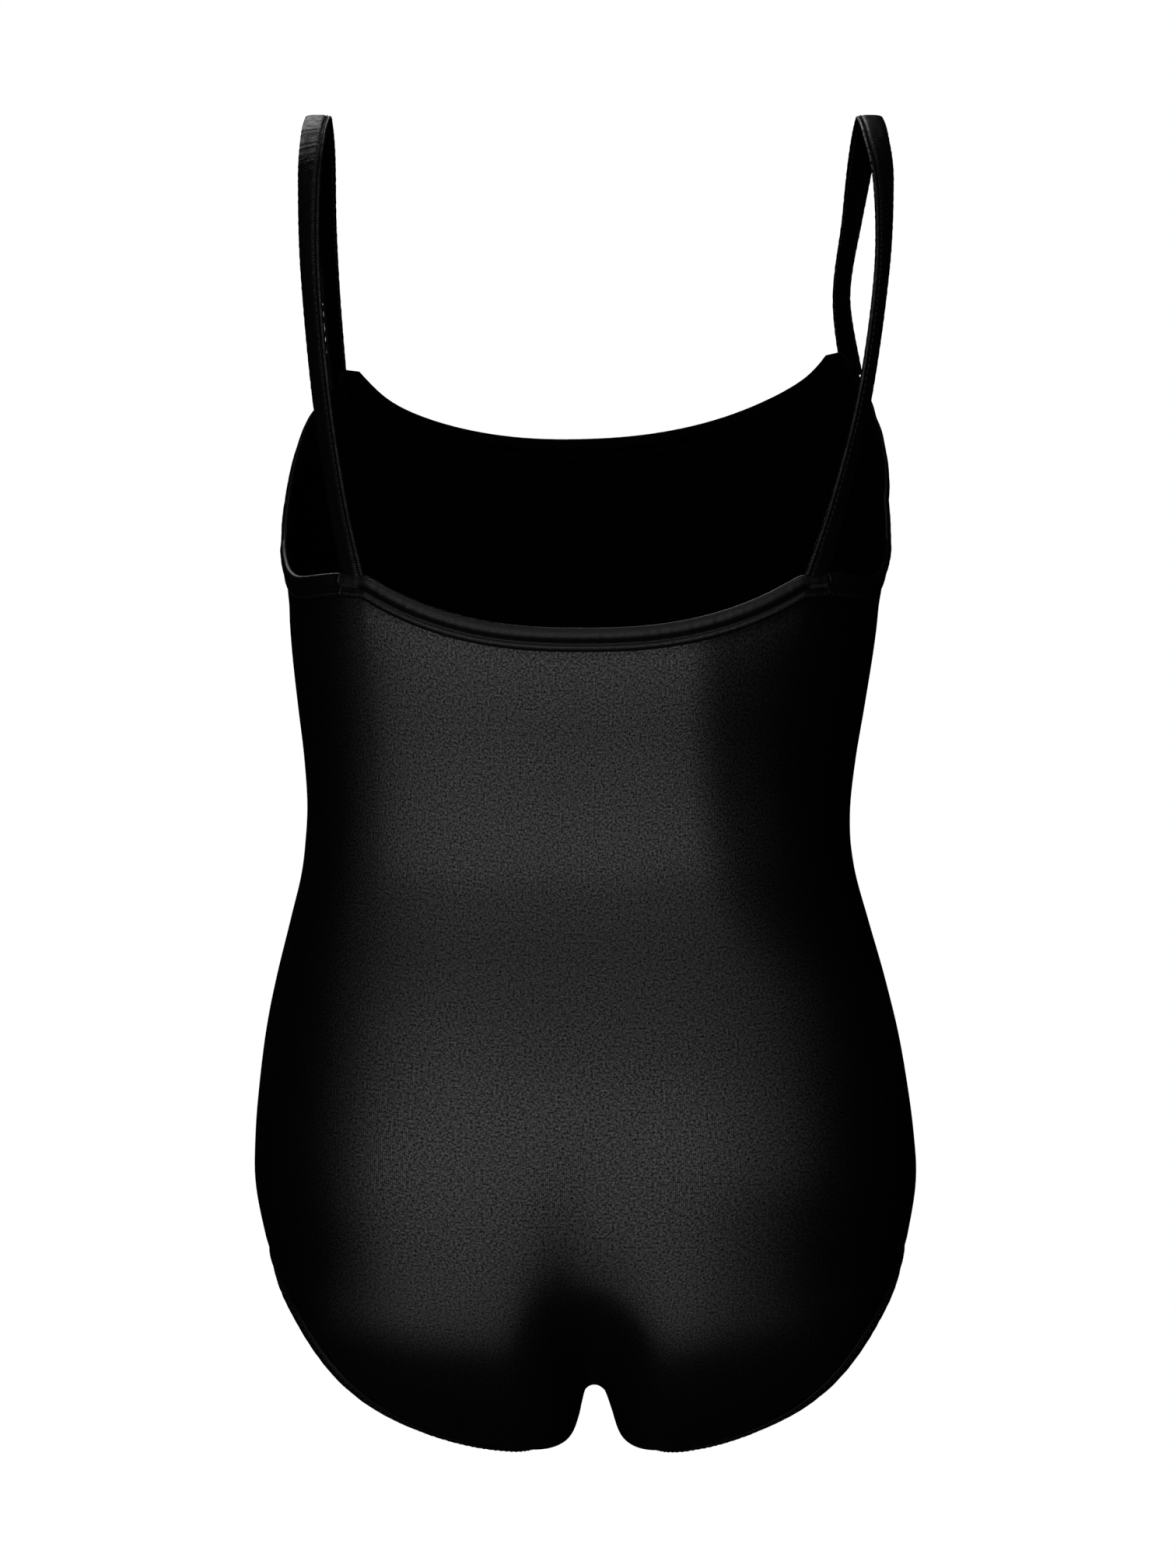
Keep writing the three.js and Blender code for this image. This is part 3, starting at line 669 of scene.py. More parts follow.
def new_group(name, inputs, outputs):
    """An empty shader group with float or vector sockets, and its two ends."""
    tree = bpy.data.node_groups.new(name, "ShaderNodeTree")
    for label, value in inputs:
        kind = "NodeSocketVector" if value is None else "NodeSocketFloat"
        socket = tree.interface.new_socket(label, in_out="INPUT", socket_type=kind)
        if value is not None:
            socket.default_value = value
    for label in outputs:
        tree.interface.new_socket(label, in_out="OUTPUT", socket_type="NodeSocketFloat")
    return tree, tree.nodes.new("NodeGroupInput").outputs, tree.nodes.new("NodeGroupOutput").inputs


def knit_group():
    """Knitted loops: wales are |sin| ridges along one direction, and courses are a sine wave whose
    phase follows the wales, so each loop is a small V. Specks are noise a little larger."""
    tree, given, wanted = new_group(
        "knit_loops", [("Vector", None), ("Wale", 0.0006), ("Course", 0.0005)],
        ["Height", "Speckle"])
    apart = add_node(tree, "ShaderNodeSeparateXYZ", {0: given["Vector"]}).outputs
    across = math_node(tree, "DIVIDE", apart[0], given["Wale"])
    up = math_node(tree, "DIVIDE", apart[1], given["Course"])
    ridge = math_node(tree, "ABSOLUTE", math_node(
        tree, "SINE", math_node(tree, "MULTIPLY", across, math.pi)))
    slant = math_node(tree, "ADD", up, math_node(tree, "MULTIPLY", ridge, 0.6))
    course = math_node(tree, "SINE", math_node(tree, "MULTIPLY", slant, 2 * math.pi))
    height = math_node(tree, "ADD", ridge, math_node(tree, "MULTIPLY", course, 0.35))
    tree.links.new(height, wanted["Height"])
    rate = math_node(tree, "DIVIDE", 0.8, given["Wale"])
    specks = add_node(tree, "ShaderNodeTexNoise", {
        "Vector": given["Vector"], "Scale": rate, "Detail": 2.0, "Roughness": 0.7})
    tree.links.new(specks.outputs["Fac"], wanted["Speckle"])
    return tree


def rib_group():
    """Cross ribs of a woven or shirred band: sin along the band, broken up by noise."""
    tree, given, wanted = new_group(
        "cross_ribs", [("Vector", None), ("Pitch", 0.0009), ("Wander", 0.25)],
        ["Height", "Speckle"])
    apart = add_node(tree, "ShaderNodeSeparateXYZ", {0: given["Vector"]}).outputs
    noise = add_node(tree, "ShaderNodeTexNoise", {
        "Vector": given["Vector"], "Scale": 420.0, "Detail": 1.0})
    wander = math_node(tree, "MULTIPLY", noise.outputs["Fac"], given["Wander"])
    turns = math_node(tree, "ADD", math_node(tree, "DIVIDE", apart[0], given["Pitch"]), wander)
    ribs = math_node(tree, "SINE", math_node(tree, "MULTIPLY", turns, 2 * math.pi))
    tree.links.new(ribs, wanted["Height"])
    tree.links.new(noise.outputs["Fac"], wanted["Speckle"])
    return tree


def shared_group(name, make):
    """The shader group of that name, made the first time that it is wanted."""
    return bpy.data.node_groups.get(name) or make()


def finish(name, colour, roughness, specular, group, values, relief, speck_share=0.35,
           sheen=0.0, glitter=0.3, brushed=False):
    """A cloth or thread finish: a group gives the relief and the specks, which vary the colour,
    the roughness and the highlights, and slow noise over the whole piece adds wear."""
    if name in bpy.data.materials:
        return bpy.data.materials[name]
    material = bpy.data.materials.new(name)
    material.use_nodes = True
    tree = material.node_tree
    shader = tree.nodes["Principled BSDF"]
    shader.inputs["Sheen Weight"].default_value = sheen
    shader.inputs["Sheen Roughness"].default_value = 0.5
    place = add_node(tree, "ShaderNodeTexCoord").outputs
    pattern = add_node(tree, "ShaderNodeGroup")
    pattern.node_tree = group
    tree.links.new(place["UV"], pattern.inputs["Vector"])
    for label, value in values.items():
        pattern.inputs[label].default_value = value
    slow = add_node(tree, "ShaderNodeTexNoise", {
        "Vector": place["Object"], "Scale": 26.0, "Detail": 3.0, "Roughness": 0.6}).outputs["Fac"]
    mixed = math_node(tree, "ADD", math_node(tree, "MULTIPLY", pattern.outputs["Speckle"], 0.7),
                      math_node(tree, "MULTIPLY", slow, 0.3))
    dark = [channel * (1 - speck_share) for channel in colour] + [1]
    light = [channel * (1 + speck_share) for channel in colour] + [1]
    shade = add_node(tree, "ShaderNodeValToRGB", {"Fac": mixed})
    shade.color_ramp.elements[0].position, shade.color_ramp.elements[0].color = 0.35, dark
    shade.color_ramp.elements[1].position, shade.color_ramp.elements[1].color = 0.65, light
    tree.links.new(shade.outputs["Color"], shader.inputs["Base Color"])
    rough = add_node(tree, "ShaderNodeMapRange", {
        "Value": mixed, "From Min": 0.3, "From Max": 0.7,
        "To Min": roughness + 0.08, "To Max": roughness - 0.08})
    tree.links.new(rough.outputs[0], shader.inputs["Roughness"])
    glint = add_node(tree, "ShaderNodeMapRange", {
        "Value": pattern.outputs["Speckle"], "From Min": 0.36, "From Max": 0.72,
        "To Min": (1 - glitter) * specular, "To Max": min(1, (1 + 1.4 * glitter) * specular)})
    gloss = glint.outputs[0]
    # Painted shade: inside a patch high on the wearer's right of the back, the highlights are cut
    # to a quarter.
    if brushed:
        shade_patch_node = add_node(tree, "ShaderNodeGroup")
        shade_patch_node.node_tree = shared_group("brushed_nap", painted_shade_patch_group)
        tree.links.new(place["Object"], shade_patch_node.inputs["Vector"])
        painted_shade_factor = add_node(tree, "ShaderNodeMapRange", {"Value": shade_patch_node.outputs["Mask"], "To Min": 0.25})
        gloss = math_node(tree, "MULTIPLY", gloss, painted_shade_factor.outputs[0])
    tree.links.new(gloss, shader.inputs["Specular IOR Level"])
    bump = add_node(tree, "ShaderNodeBump", {
        "Height": pattern.outputs["Height"], "Strength": 1.0, "Distance": relief})
    tree.links.new(bump.outputs["Normal"], shader.inputs["Normal"])
    return material


# The patch of painted shade on the back, where the highlights are cut: its centre and half
# sizes along X and Z, in metres.
PAINTED_SHADE_CENTRE = (-0.108, 0.1)
PAINTED_SHADE_REACH = (0.064, 0.142)


def painted_shade_patch_group():
    """Painted shade on the back: 1 outside a superellipse of power 4 about a point of the back, and
    0 inside it, with a soft border."""
    tree, given, wanted = new_group("brushed_nap", [("Vector", None)], ["Mask"])
    apart = add_node(tree, "ShaderNodeSeparateXYZ", {0: given["Vector"]}).outputs
    total = 0.0
    for axis, centre, reach in zip((0, 2), PAINTED_SHADE_CENTRE, PAINTED_SHADE_REACH):
        off = math_node(tree, "DIVIDE", math_node(tree, "SUBTRACT", apart[axis], centre), reach)
        total = math_node(tree, "ADD", total, math_node(
            tree, "POWER", math_node(tree, "ABSOLUTE", off), 4.0))
    mask = add_node(tree, "ShaderNodeMapRange", {
        "Value": total, "From Min": 0.55, "From Max": 1.7}, interpolation_type="SMOOTHSTEP")
    tree.links.new(mask.outputs[0], wanted["Mask"])
    return tree


def cloth_finish(settings, inside=False):
    """Stretch knit: satiny outside but for a patch of painted shade, and duller inside, with a
    darker colour there that is painted shade.
    """
    knit = shared_group("knit_loops", knit_group)
    values = {"Wale": settings.knit_size, "Course": 0.85 * settings.knit_size}
    if inside:
        # Painted shade: the inside's colour is 0.35 of the outside's. Its duller roughness and weak
        # highlights are the knit's matte back.
        painted_shade_colour = [0.35 * channel for channel in settings.colour]
        return finish("knit_inside", painted_shade_colour, 0.85, 0.015, knit, values, 0.00004)
    return finish("knit_outside", settings.colour, settings.roughness, settings.gloss, knit,
                  values, 0.00003, glitter=0.85, brushed=True)


def trim_finish(settings, inside=False):
    """The bindings' cloth: the same knit, stretched and a little glossier, and duller inside,
    where its darker colour is painted shade.
    """
    knit = shared_group("knit_loops", knit_group)
    if inside:
        # Painted shade: the inside's colour is 0.2 of the outside's. Its duller roughness and weak
        # highlights are the cloth's matte back.
        painted_shade_colour = [0.2 * channel for channel in settings.colour]
        return finish("binding_inside", painted_shade_colour, 0.75, 0.02, knit, {"Wale": 0.0005, "Course": 0.0007},
                      0.00003)
    return finish("binding_knit", settings.colour, settings.roughness, settings.gloss, knit,
                  {"Wale": 0.0005, "Course": 0.0007}, 0.00003)


def strap_finish(settings):
    """The straps' cloth, pulled into fine cross ribs by its stitching."""
    ribs = shared_group("cross_ribs", rib_group)
    return finish("strap_ribs", settings.colour, settings.roughness, settings.gloss, ribs,
                  {"Pitch": 0.0009, "Wander": 0.6}, 0.00009)


def thread_finish():
    """Polyester thread: its twist is a slanting rib."""
    ribs = shared_group("cross_ribs", rib_group)
    return finish("black_thread", (0.006, 0.006, 0.0062), 0.45, 0.5, ribs,
                  {"Pitch": 0.0004, "Wander": 0.1}, 0.00004)


def elastic_finish():
    """Woven elastic: undyed, with cross ribs."""
    ribs = shared_group("cross_ribs", rib_group)
    return finish("woven_elastic", (0.62, 0.6, 0.54), 0.8, 0.2, ribs,
                  {"Pitch": 0.0011, "Wander": 0.2}, 0.0001, speck_share=0.12)


def lining_finish():
    """Cotton lining knit: soft, dull charcoal."""
    knit = shared_group("knit_loops", knit_group)
    return finish("lining_knit", (0.03, 0.03, 0.032), 0.9, 0.1, knit,
                  {"Wale": 0.0009, "Course": 0.0008}, 0.00008, sheen=0.1)


# ---------------------------------------------------------------- settings


class LeotardClothSettings(bpy.types.PropertyGroup):
    """The panels' stretch knit."""

    colour: bpy.props.FloatVectorProperty(
        name="Colour", description="Colour of the panels' outside", subtype="COLOR",
        default=(0.0018, 0.0018, 0.0019), min=0, max=1)
    roughness: bpy.props.FloatProperty(
        name="Roughness", description="How dull the panels' outside is", subtype="FACTOR",
        default=0.34, min=0, max=1)
    gloss: bpy.props.FloatProperty(
        name="Gloss", description="Strength of the panels' highlights", subtype="FACTOR",
        default=0.45, min=0, max=1)
    knit_size: bpy.props.FloatProperty(
        name="Knit size", description="Width of one wale of the knit", unit="LENGTH",
        default=0.0007, min=0.0001)
    thickness: bpy.props.FloatProperty(
        name="Thickness", description="Thickness of the cloth", unit="LENGTH",
        default=0.0008, min=0.0001)
    pucker: bpy.props.FloatProperty(
        name="Pucker", description="Height of the gathers beside the bound edges", unit="LENGTH",
        default=0.00016, min=0)


class LeotardTrimSettings(bpy.types.PropertyGroup):
    """The bindings, the straps and their stitching."""

    colour: bpy.props.FloatVectorProperty(
        name="Colour", description="Colour of the bindings and straps", subtype="COLOR",
        default=(0.0024, 0.0024, 0.0025), min=0, max=1)
    roughness: bpy.props.FloatProperty(
        name="Roughness", description="How dull the bindings are", subtype="FACTOR",
        default=0.36, min=0, max=1)
    gloss: bpy.props.FloatProperty(
        name="Gloss", description="Strength of the bindings' highlights", subtype="FACTOR",
        default=0.3, min=0, max=1)
    shirring: bpy.props.FloatProperty(
        name="Shirring", description="How far the elastic pulls the bindings into waves",
        subtype="FACTOR", default=0.06, min=0, max=0.3)
    neck_puff: bpy.props.FloatProperty(
        name="Neck roll", description="Roundness of the neck bindings", default=1.0, min=0.5,
        max=1.2)
    arm_puff: bpy.props.FloatProperty(
        name="Armhole roll", description="Roundness of the armhole bindings", default=0.9, min=0.5,
        max=1.2)
    leg_puff: bpy.props.FloatProperty(
        name="Leg roll", description="Roundness of the leg bindings", default=0.62, min=0.5,
        max=1.2)
    stitch_pitch: bpy.props.FloatProperty(
        name="Stitch pitch", description="Distance from stitch to stitch", unit="LENGTH",
        default=0.0024, min=0.001)
    thread: bpy.props.FloatProperty(
        name="Thread", description="Diameter of the sewing thread", unit="LENGTH",
        default=0.00042, min=0.0001)


class LeotardStageSettings(bpy.types.PropertyGroup):
    """Camera, lights and floor."""

    picture_height: bpy.props.FloatProperty(
        name="Picture height", description="Height that the picture covers at the garment",
        unit="LENGTH", default=0.5895, min=0.1)
    key_power: bpy.props.FloatProperty(
        name="Key light", description="Power of the soft light by the camera", unit="POWER",
        default=10.5, min=0)
    fill_power: bpy.props.FloatProperty(
        name="Fill light", description="Power of the soft light from the other side, higher up",
        unit="POWER", default=1.1, min=0)
    top_power: bpy.props.FloatProperty(
        name="Top light", description="Power of the soft light above the bound edges",
        unit="POWER", default=5.0, min=0)
    front_power: bpy.props.FloatProperty(
        name="Front light", description="Power of the soft light on the garment's front",
        unit="POWER", default=7.0, min=0)


SETTINGS = {
    "leotard_cloth": LeotardClothSettings,
    "leotard_trim": LeotardTrimSettings,
    "leotard_stage": LeotardStageSettings,
}

# ---------------------------------------------------------------- panels

PANEL_HALF_GIRTH = 170


def add_panel(is_back, settings):
    """One panel: its grid moved by half the cloth's thickness to each side, closed by a rim."""
    name = "back" if is_back else "front"
    middle, normals, shares = cloth_grid(is_back, settings.pucker / MM)
    half = settings.thickness / MM / 2
    points, (top, bottom, rim) = slab(middle + half * normals, middle - half * normals)
    quads = np.concatenate([top, bottom, rim])
    if signed_volume(points, quads) < 0:
        quads = quads[:, ::-1]
    # The inner face takes the inside finish, whose darker colour is painted shade.
    indices = np.concatenate([np.zeros(len(top)), np.ones(len(bottom)), np.zeros(len(rim))])
    v = -running(np.linalg.norm(np.diff(middle, axis=1), axis=-1).mean(axis=0))
    u = shares * PANEL_HALF_GIRTH
    uv = np.stack(np.broadcast_arrays(u[:, None], v[None, :]), axis=-1).reshape(-1, 2)
    piece = add_mesh(name + "_cloth", points, quads, uv=np.concatenate([uv, uv]), indices=indices,
                     materials=[cloth_finish(settings), cloth_finish(settings, inside=True)])
    stand_for(piece, "stretch_cloth", name + "_panel")


class LEOTARD_OT_panels(bpy.types.Operator):
    """Build the back and front panels"""

    bl_idname = "leotard.panels"
    bl_label = "Panels"

    def execute(self, context):
        for is_back in (True, False):
            add_panel(is_back, context.scene.leotard_cloth)
        return {"FINISHED"}


# ---------------------------------------------------------------- bound edges


def neck_path(is_back, settings):
    """The neck's edge from corner to corner, with the strap ends under the binding."""
    grid, normals, shares = cloth_grid(is_back, settings.pucker / MM)
    inside = np.abs(shares) <= TOPS[is_back]["arm_start"] + 1e-6
    return edge_path(grid[inside, 0], eased(normals[inside, 0], 3), grid[inside, 6], 0.8)


def side_columns(shares, is_left):
    """Column numbers from the middle to the side seam of one side."""
    return np.where(shares > 0)[0] if is_left else np.where(shares < 0)[0][::-1]


def arm_path(is_left, settings):
    """The armhole's edge from the back corner under the arm to the front corner."""
    parts = []
    for is_back in (True, False):
        grid, normals, shares = cloth_grid(is_back, settings.pucker / MM)
        columns = side_columns(shares, is_left)
        columns = columns[np.abs(shares[columns]) >= TOPS[is_back]["arm_start"] - 1e-6]
        if not is_back:
            columns = columns[::-1][1:]
        parts.append((grid[columns, 0], normals[columns, 0], grid[columns, 6]))
    points, normals, inner = (np.concatenate(pair) for pair in zip(*parts))
    return edge_path(eased(points, 2), eased(normals, 8), inner, 0.8)


def leg_path(is_left, settings):
    """The leg's edge as a ring: over the seat to the crotch and up the groin to the side."""
    parts = []
    for is_back in (True, False):
        grid, normals, _ = cloth_grid(is_back, settings.pucker / MM)
        column, step, clean = (-1, -3, -9) if is_left else (0, 2, 8)
        rows = np.arange(BODY_ROWS, grid.shape[1])
        if not is_back:
            rows = rows[::-1][1:-1]
        parts.append((grid[column, rows], normals[clean, rows], grid[step, rows]))
    points, normals, inner = (np.concatenate(pair) for pair in zip(*parts))
    return edge_path(points, ring_eased(normals, 40), inner, 1.0, closed=True)


def ring_eased(values, times):
    """Values round a ring, each replaced again and again by the mean of it and its neighbours."""
    for _ in range(times):
        values = (np.roll(values, 1, axis=0) + 2 * values + np.roll(values, -1, axis=0)) / 4
    return values


def add_trim(prefix, path, settings, puff, tilt=0.0):
    """A binding, the elastic inside it and its stitching."""
    binding = add_binding(prefix + "_band", path, settings, puff, tilt)
    stand_for(binding, "binding_cloth", prefix + "_binding")
    elastic = add_strip(prefix + "_elastic_tape", path, tilt * sum(ELASTIC_SPAN) / 2, ELASTIC_HALF,
                        *ELASTIC_SPAN, elastic_finish())
    stand_for(elastic, "elastic", prefix + "_elastic")
    rows = [row_of_stitches(path, out, down, settings) for out, down in STITCH_ROWS]
    stitches = add_stitches(prefix + "_stitches", rows, thread_finish())
    stand_for(stitches, "thread", prefix + "_stitching")


# The two faces' rows of stitches: how far out and down they lie.
STITCH_ROWS = [(1.45, 0.35), (-1.45, 0.35)]
LEG_TILT = 0.22


class LEOTARD_OT_necks(bpy.types.Operator):
    """Bind the back and front neck edges"""

    bl_idname = "leotard.necks"
    bl_label = "Neck bindings"

    def execute(self, context):
        trim = context.scene.leotard_trim
        for is_back in (True, False):
            path = neck_path(is_back, context.scene.leotard_cloth)
            name = ("back" if is_back else "front") + "_neck"
            add_trim(name, path, trim, trim.neck_puff)
        return {"FINISHED"}


class LEOTARD_OT_armholes(bpy.types.Operator):
    """Bind both armholes"""

    bl_idname = "leotard.armholes"
    bl_label = "Armhole bindings"

    def execute(self, context):
        trim = context.scene.leotard_trim
        for side in ("left", "right"):
            path = arm_path(side == "left", context.scene.leotard_cloth)
            add_trim(side + "_armhole", path, trim, trim.arm_puff)
        return {"FINISHED"}


class LEOTARD_OT_legs(bpy.types.Operator):
    """Bind both leg openings"""

    bl_idname = "leotard.legs"
    bl_label = "Leg bindings"

    def execute(self, context):
        trim = context.scene.leotard_trim
        for side in ("left", "right"):
            path = leg_path(side == "left", context.scene.leotard_cloth)
            add_trim(side + "_leg", path, trim, trim.leg_puff, LEG_TILT)
        return {"FINISHED"}


# ---------------------------------------------------------------- seams and gusset

SEAM_OUT = -1.5
SEAM_HALF = 0.35
SEAM_HALF_WIDTH = 2.5
SEAM_SIDES = 16
LINING_OUT = -2.6
LINING_HALF = 0.3


def seam_sections(points, outs, across, pitch=2.2):
    """An overlocked seam allowance: an oblong section whose edge swells at each thread loop."""
    lengths = lengths_along(points)
    turn = np.linspace(0, 2 * math.pi, SEAM_SIDES, endpoint=False)
    wide = SEAM_HALF_WIDTH * (1 - 0.06 * (1 + wave(lengths, pitch))[:, None] / 2)
    side = wide * rounded(np.cos(turn), 0.5)
    high = SEAM_HALF * (1 + 0.25 * wave(lengths, pitch)[:, None]) * np.sin(turn)
    sections = (points[:, None] + side[..., None] * across[:, None]
                + high[..., None] * outs[:, None])
    around = np.linspace(0, 4.4 * SEAM_HALF_WIDTH, SEAM_SIDES)
    return sections, np.stack([np.repeat(lengths, SEAM_SIDES), np.tile(around, len(lengths))], -1)


def add_side_seam(side, settings):
    """The overlocked seam allowance inside one side."""
    is_left = side == "left"
    grid = cloth_grid(True, settings.pucker / MM)[0]
    rows = np.arange(4, BODY_ROWS - 3)
    places = np.linspace(0, len(rows) - 1, 4 * len(rows))
    points = spaced(places, np.arange(len(rows)), grid[-1 if is_left else 0, rows])
    outs = np.zeros_like(points)
    outs[:, 0] = 1 if is_left else -1
    across = np.zeros_like(points)
    across[:, 1] = 1
    sections, uv = seam_sections(points + SEAM_OUT * outs, outs, across)
    mesh, quads, caps = swept(sections, closed=False)
    piece = add_mesh(side + "_side_overlock", mesh, quads, caps, uv, materials=[thread_finish()])
    stand_for(piece, "thread", side + "_side_seam")


def crotch_rows(is_back, settings, rows):
    """Points and outward directions of the panel's rows near the crotch seam."""
    grid, normals, shares = cloth_grid(is_back, settings.pucker / MM)
    keep = np.abs(shares) < 0.85
    return grid[keep][:, rows], normals[keep][:, rows]


def add_crotch(settings):
    """The overlocked crotch seam and the gusset lining inside it."""
    points, outs = crotch_rows(True, settings, [-1])
    points, outs = points[:, 0], outs[:, 0]
    across = np.cross(outs, unit(np.gradient(points, axis=0)))
    sections, uv = seam_sections(points + SEAM_OUT * outs, outs, across, pitch=1.6)
    mesh, quads, caps = swept(sections, closed=False)
    piece = add_mesh("crotch_overlock", mesh, quads, caps, uv, materials=[thread_finish()])
    stand_for(piece, "thread", "crotch_seam")

    back, back_out = crotch_rows(True, settings, list(range(-16, 0)))
    front, front_out = crotch_rows(False, settings, list(range(-2, -26, -1)))
    count = min(len(back), len(front))
    front, front_out = front[:count], front_out[:count]
    grid = np.concatenate([back[:count], front], axis=1)
    out = np.concatenate([back_out[:count], front_out], axis=1)
    points, parts = slab(grid + (LINING_OUT + LINING_HALF) * out,
                         grid + (LINING_OUT - LINING_HALF) * out)
    v = np.arange(grid.shape[1]) * 2.0
    u = np.linspace(-18, 18, count)
    uv = np.stack(np.broadcast_arrays(u[:, None], v[None, :]), axis=-1).reshape(-1, 2)
    lining = add_mesh("gusset_cloth", points, np.concatenate(parts),
                      uv=np.concatenate([uv, uv]), materials=[lining_finish()])
    stand_for(lining, "lining_cloth", "gusset_lining")


class LEOTARD_OT_seams(bpy.types.Operator):
    """Sew the side seams, the crotch seam and the gusset lining"""

    bl_idname = "leotard.seams"
    bl_label = "Seams and gusset"

    def execute(self, context):
        cloth = context.scene.leotard_cloth
        for side in ("left", "right"):
            add_side_seam(side, cloth)
        add_crotch(cloth)
        return {"FINISHED"}


# ---------------------------------------------------------------- straps

# Middle line from the back over the shoulder to the front, and for each side how far it is moved
# outwards and how its width is turned.
STRAP_KEYS = np.array([
    [92.5, 70, 125], [101, 73, 165], [106.5, 66, 210], [107.5, 46, 244], [105.5, 24, 262.5],
    [103.5, 5, 270.2], [102.5, -5, 270.2], [100.5, -24, 260], [98.2, -41, 236], [96.6, -48.5, 206],
])
STRAP_SPREAD = {
    "left": [-1.0, -3.6, -5.0, -5.0, -3.8, -2.8, -2.0, -0.6, 0.9, 0.6],
    "right": [0.6, 1.6, 2.4, 2.6, 2.6, 3.2, 3.6, 4.0, 3.0, 0.8],
}
STRAP_TURNS = {
    "left": [-46, -48, -46, -38, -18, -2, 2, 20, 44, 52],
    "right": [-50, -61, -61, -48, -18, -2, 2, 22, 48, 54],
}
FRONT_TIP_SHIFT = {"left": -3.0, "right": -1.5}
STRAP_HALF_WIDTH = 5
STRAP_HALF_THICK = 1.3
STRAP_STATIONS = 330
STRAP_SIDES = 40
STRAP_SEAM_ACROSS = -3.3
TIP_DOWN = -6.2


def corner_frame(is_back, side, settings):
    """Point and outward, downward and sideways directions at the middle of a strap corner. The
    right corner is given as its mirror image on the left."""
    grid, normals, shares = cloth_grid(is_back, settings.pucker / MM)
    if side == "right":
        grid, normals = mirrored(grid[::-1], normals[::-1])
    top = TOPS[is_back]
    middle = (top["neck_end"] + top["arm_start"]) / 2
    column = int(np.argmin(np.abs(shares - middle)))
    point, out = grid[column, 0], normals[column, 0]
    along = unit(grid[column + 3, 0] - grid[column - 3, 0])
    out = square_to(out, along)
    down = np.cross(out, along)
    if down[2] > 0:
        down = -down
    return point, out, down, along


def heading(direction):
    """A direction's angle from +X to +Y, in degrees."""
    return math.degrees(math.atan2(direction[1], direction[0]))


def strap_line(side, settings):
    """Stations along a strap: points on a Catmull-Rom curve, directions across its width and out
    of its face. The left strap is worked out and the right one is its mirror image with its own
    spread over the shoulder."""
    back, back_out, back_down, _ = corner_frame(True, side, settings)
    front, front_out, front_down, _ = corner_frame(False, side, settings)
    keys = STRAP_KEYS.copy()
    keys[:, 0] += STRAP_SPREAD[side]
    tip = front + TIP_DOWN * front_down + [FRONT_TIP_SHIFT[side], 0, 0]
    line = np.concatenate([[back + TIP_DOWN * back_down], keys, [tip]])
    turns = [heading(back_out) - 90, *STRAP_TURNS[side], heading(front_out) + 90]
    place = np.linspace(0, len(line) - 1, 40 * len(line))
    point, turn = from_table(line, place), np.radians(from_table(turns, place))
    lengths = lengths_along(point)
    at = np.linspace(0, lengths[-1], STRAP_STATIONS)
    point, turn = spaced(at, lengths, point), np.interp(at, lengths, turn)
    along = unit(eased(np.gradient(point, axis=0), 10))
    across = square_to(np.stack([np.cos(turn), np.sin(turn), 0 * turn], axis=-1), along)
    out = np.cross(along, across)
    if side == "right":
        point, across, out = mirrored(point, across, out)
    return {"point": point, "out": out, "down": across, "length": at, "closed": False,
            "whole": float(lengths[-1])}


def strap_sections(path, settings):
    """A folded strap's section: a rounded oblong, cos to the power 0.6 across and sin to the power
    0.75 out, with a groove exp(-((a - seam) / 0.6)^2) where it is stitched."""
    turn = np.linspace(0, 2 * math.pi, STRAP_SIDES, endpoint=False)
    across = STRAP_HALF_WIDTH * rounded(np.cos(turn), 0.6)
    out = STRAP_HALF_THICK * rounded(np.sin(turn), 0.75)
    groove = np.exp(-(((across - STRAP_SEAM_ACROSS) / 0.6) ** 2))
    out = out * (1 - 0.42 * groove)
    s = path["length"][:, None]
    ripple = 0.6 * wave(s, 2.9) * wave(s, 19) + 0.4 * wave(s, 4.7, 0.7)
    around = lengths_along(np.stack([across, out], axis=-1))
    wide = across[None, :] * (1 + 0.02 * ripple)
    high = out[None, :] * (1 + settings.shirring * ripple)
    return beside(path, high, wide), around


def bend_with(piece):
    """Bakes the piece's placement into its points."""
    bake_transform(piece)


def add_strap(side, cloth, trim):
    """One strap with the elastic inside it and its row of stitches."""
    path = strap_line(side, cloth)
    sections, around = strap_sections(path, trim)
    points, quads, caps = swept(sections, closed=False)
    turn = np.linspace(0, 2 * math.pi, STRAP_SIDES, endpoint=False)
    # The faces toward the body take the inside finish, whose darker colour is painted shade.
    is_inside = np.tile(np.sin(turn) < -0.3, STRAP_STATIONS - 1)
    indices = np.concatenate([is_inside, np.zeros(len(caps))])
    strap = add_mesh(side + "_strap_band", points, quads, caps, section_uv(path, around), indices,
                     [strap_finish(trim), trim_finish(trim, inside=True)])
    bend_with(strap)
    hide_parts(side + "_strap")

    inner = {key: value[10:-10] if isinstance(value, np.ndarray) else value
             for key, value in path.items()}
    tape = add_strip(side + "_strap_elastic_tape", inner, 0, 0.35, -2.2, 3.4, elastic_finish())
    bend_with(tape)
    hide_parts(side + "_strap_elastic")

    shown = {key: value[8:-8] if isinstance(value, np.ndarray) else value
             for key, value in path.items()}
    shown["length"] = shown["length"] - shown["length"][0]
    shown["whole"] = float(shown["length"][-1])
    rows = [row_of_stitches(shown, sign * 0.98 * STRAP_HALF_THICK * 0.78, STRAP_SEAM_ACROSS, trim)
            for sign in (1, -1)]
    stitches = add_stitches(side + "_strap_stitches", rows, thread_finish())
    bend_with(stitches)
    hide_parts(side + "_strap_stitching")


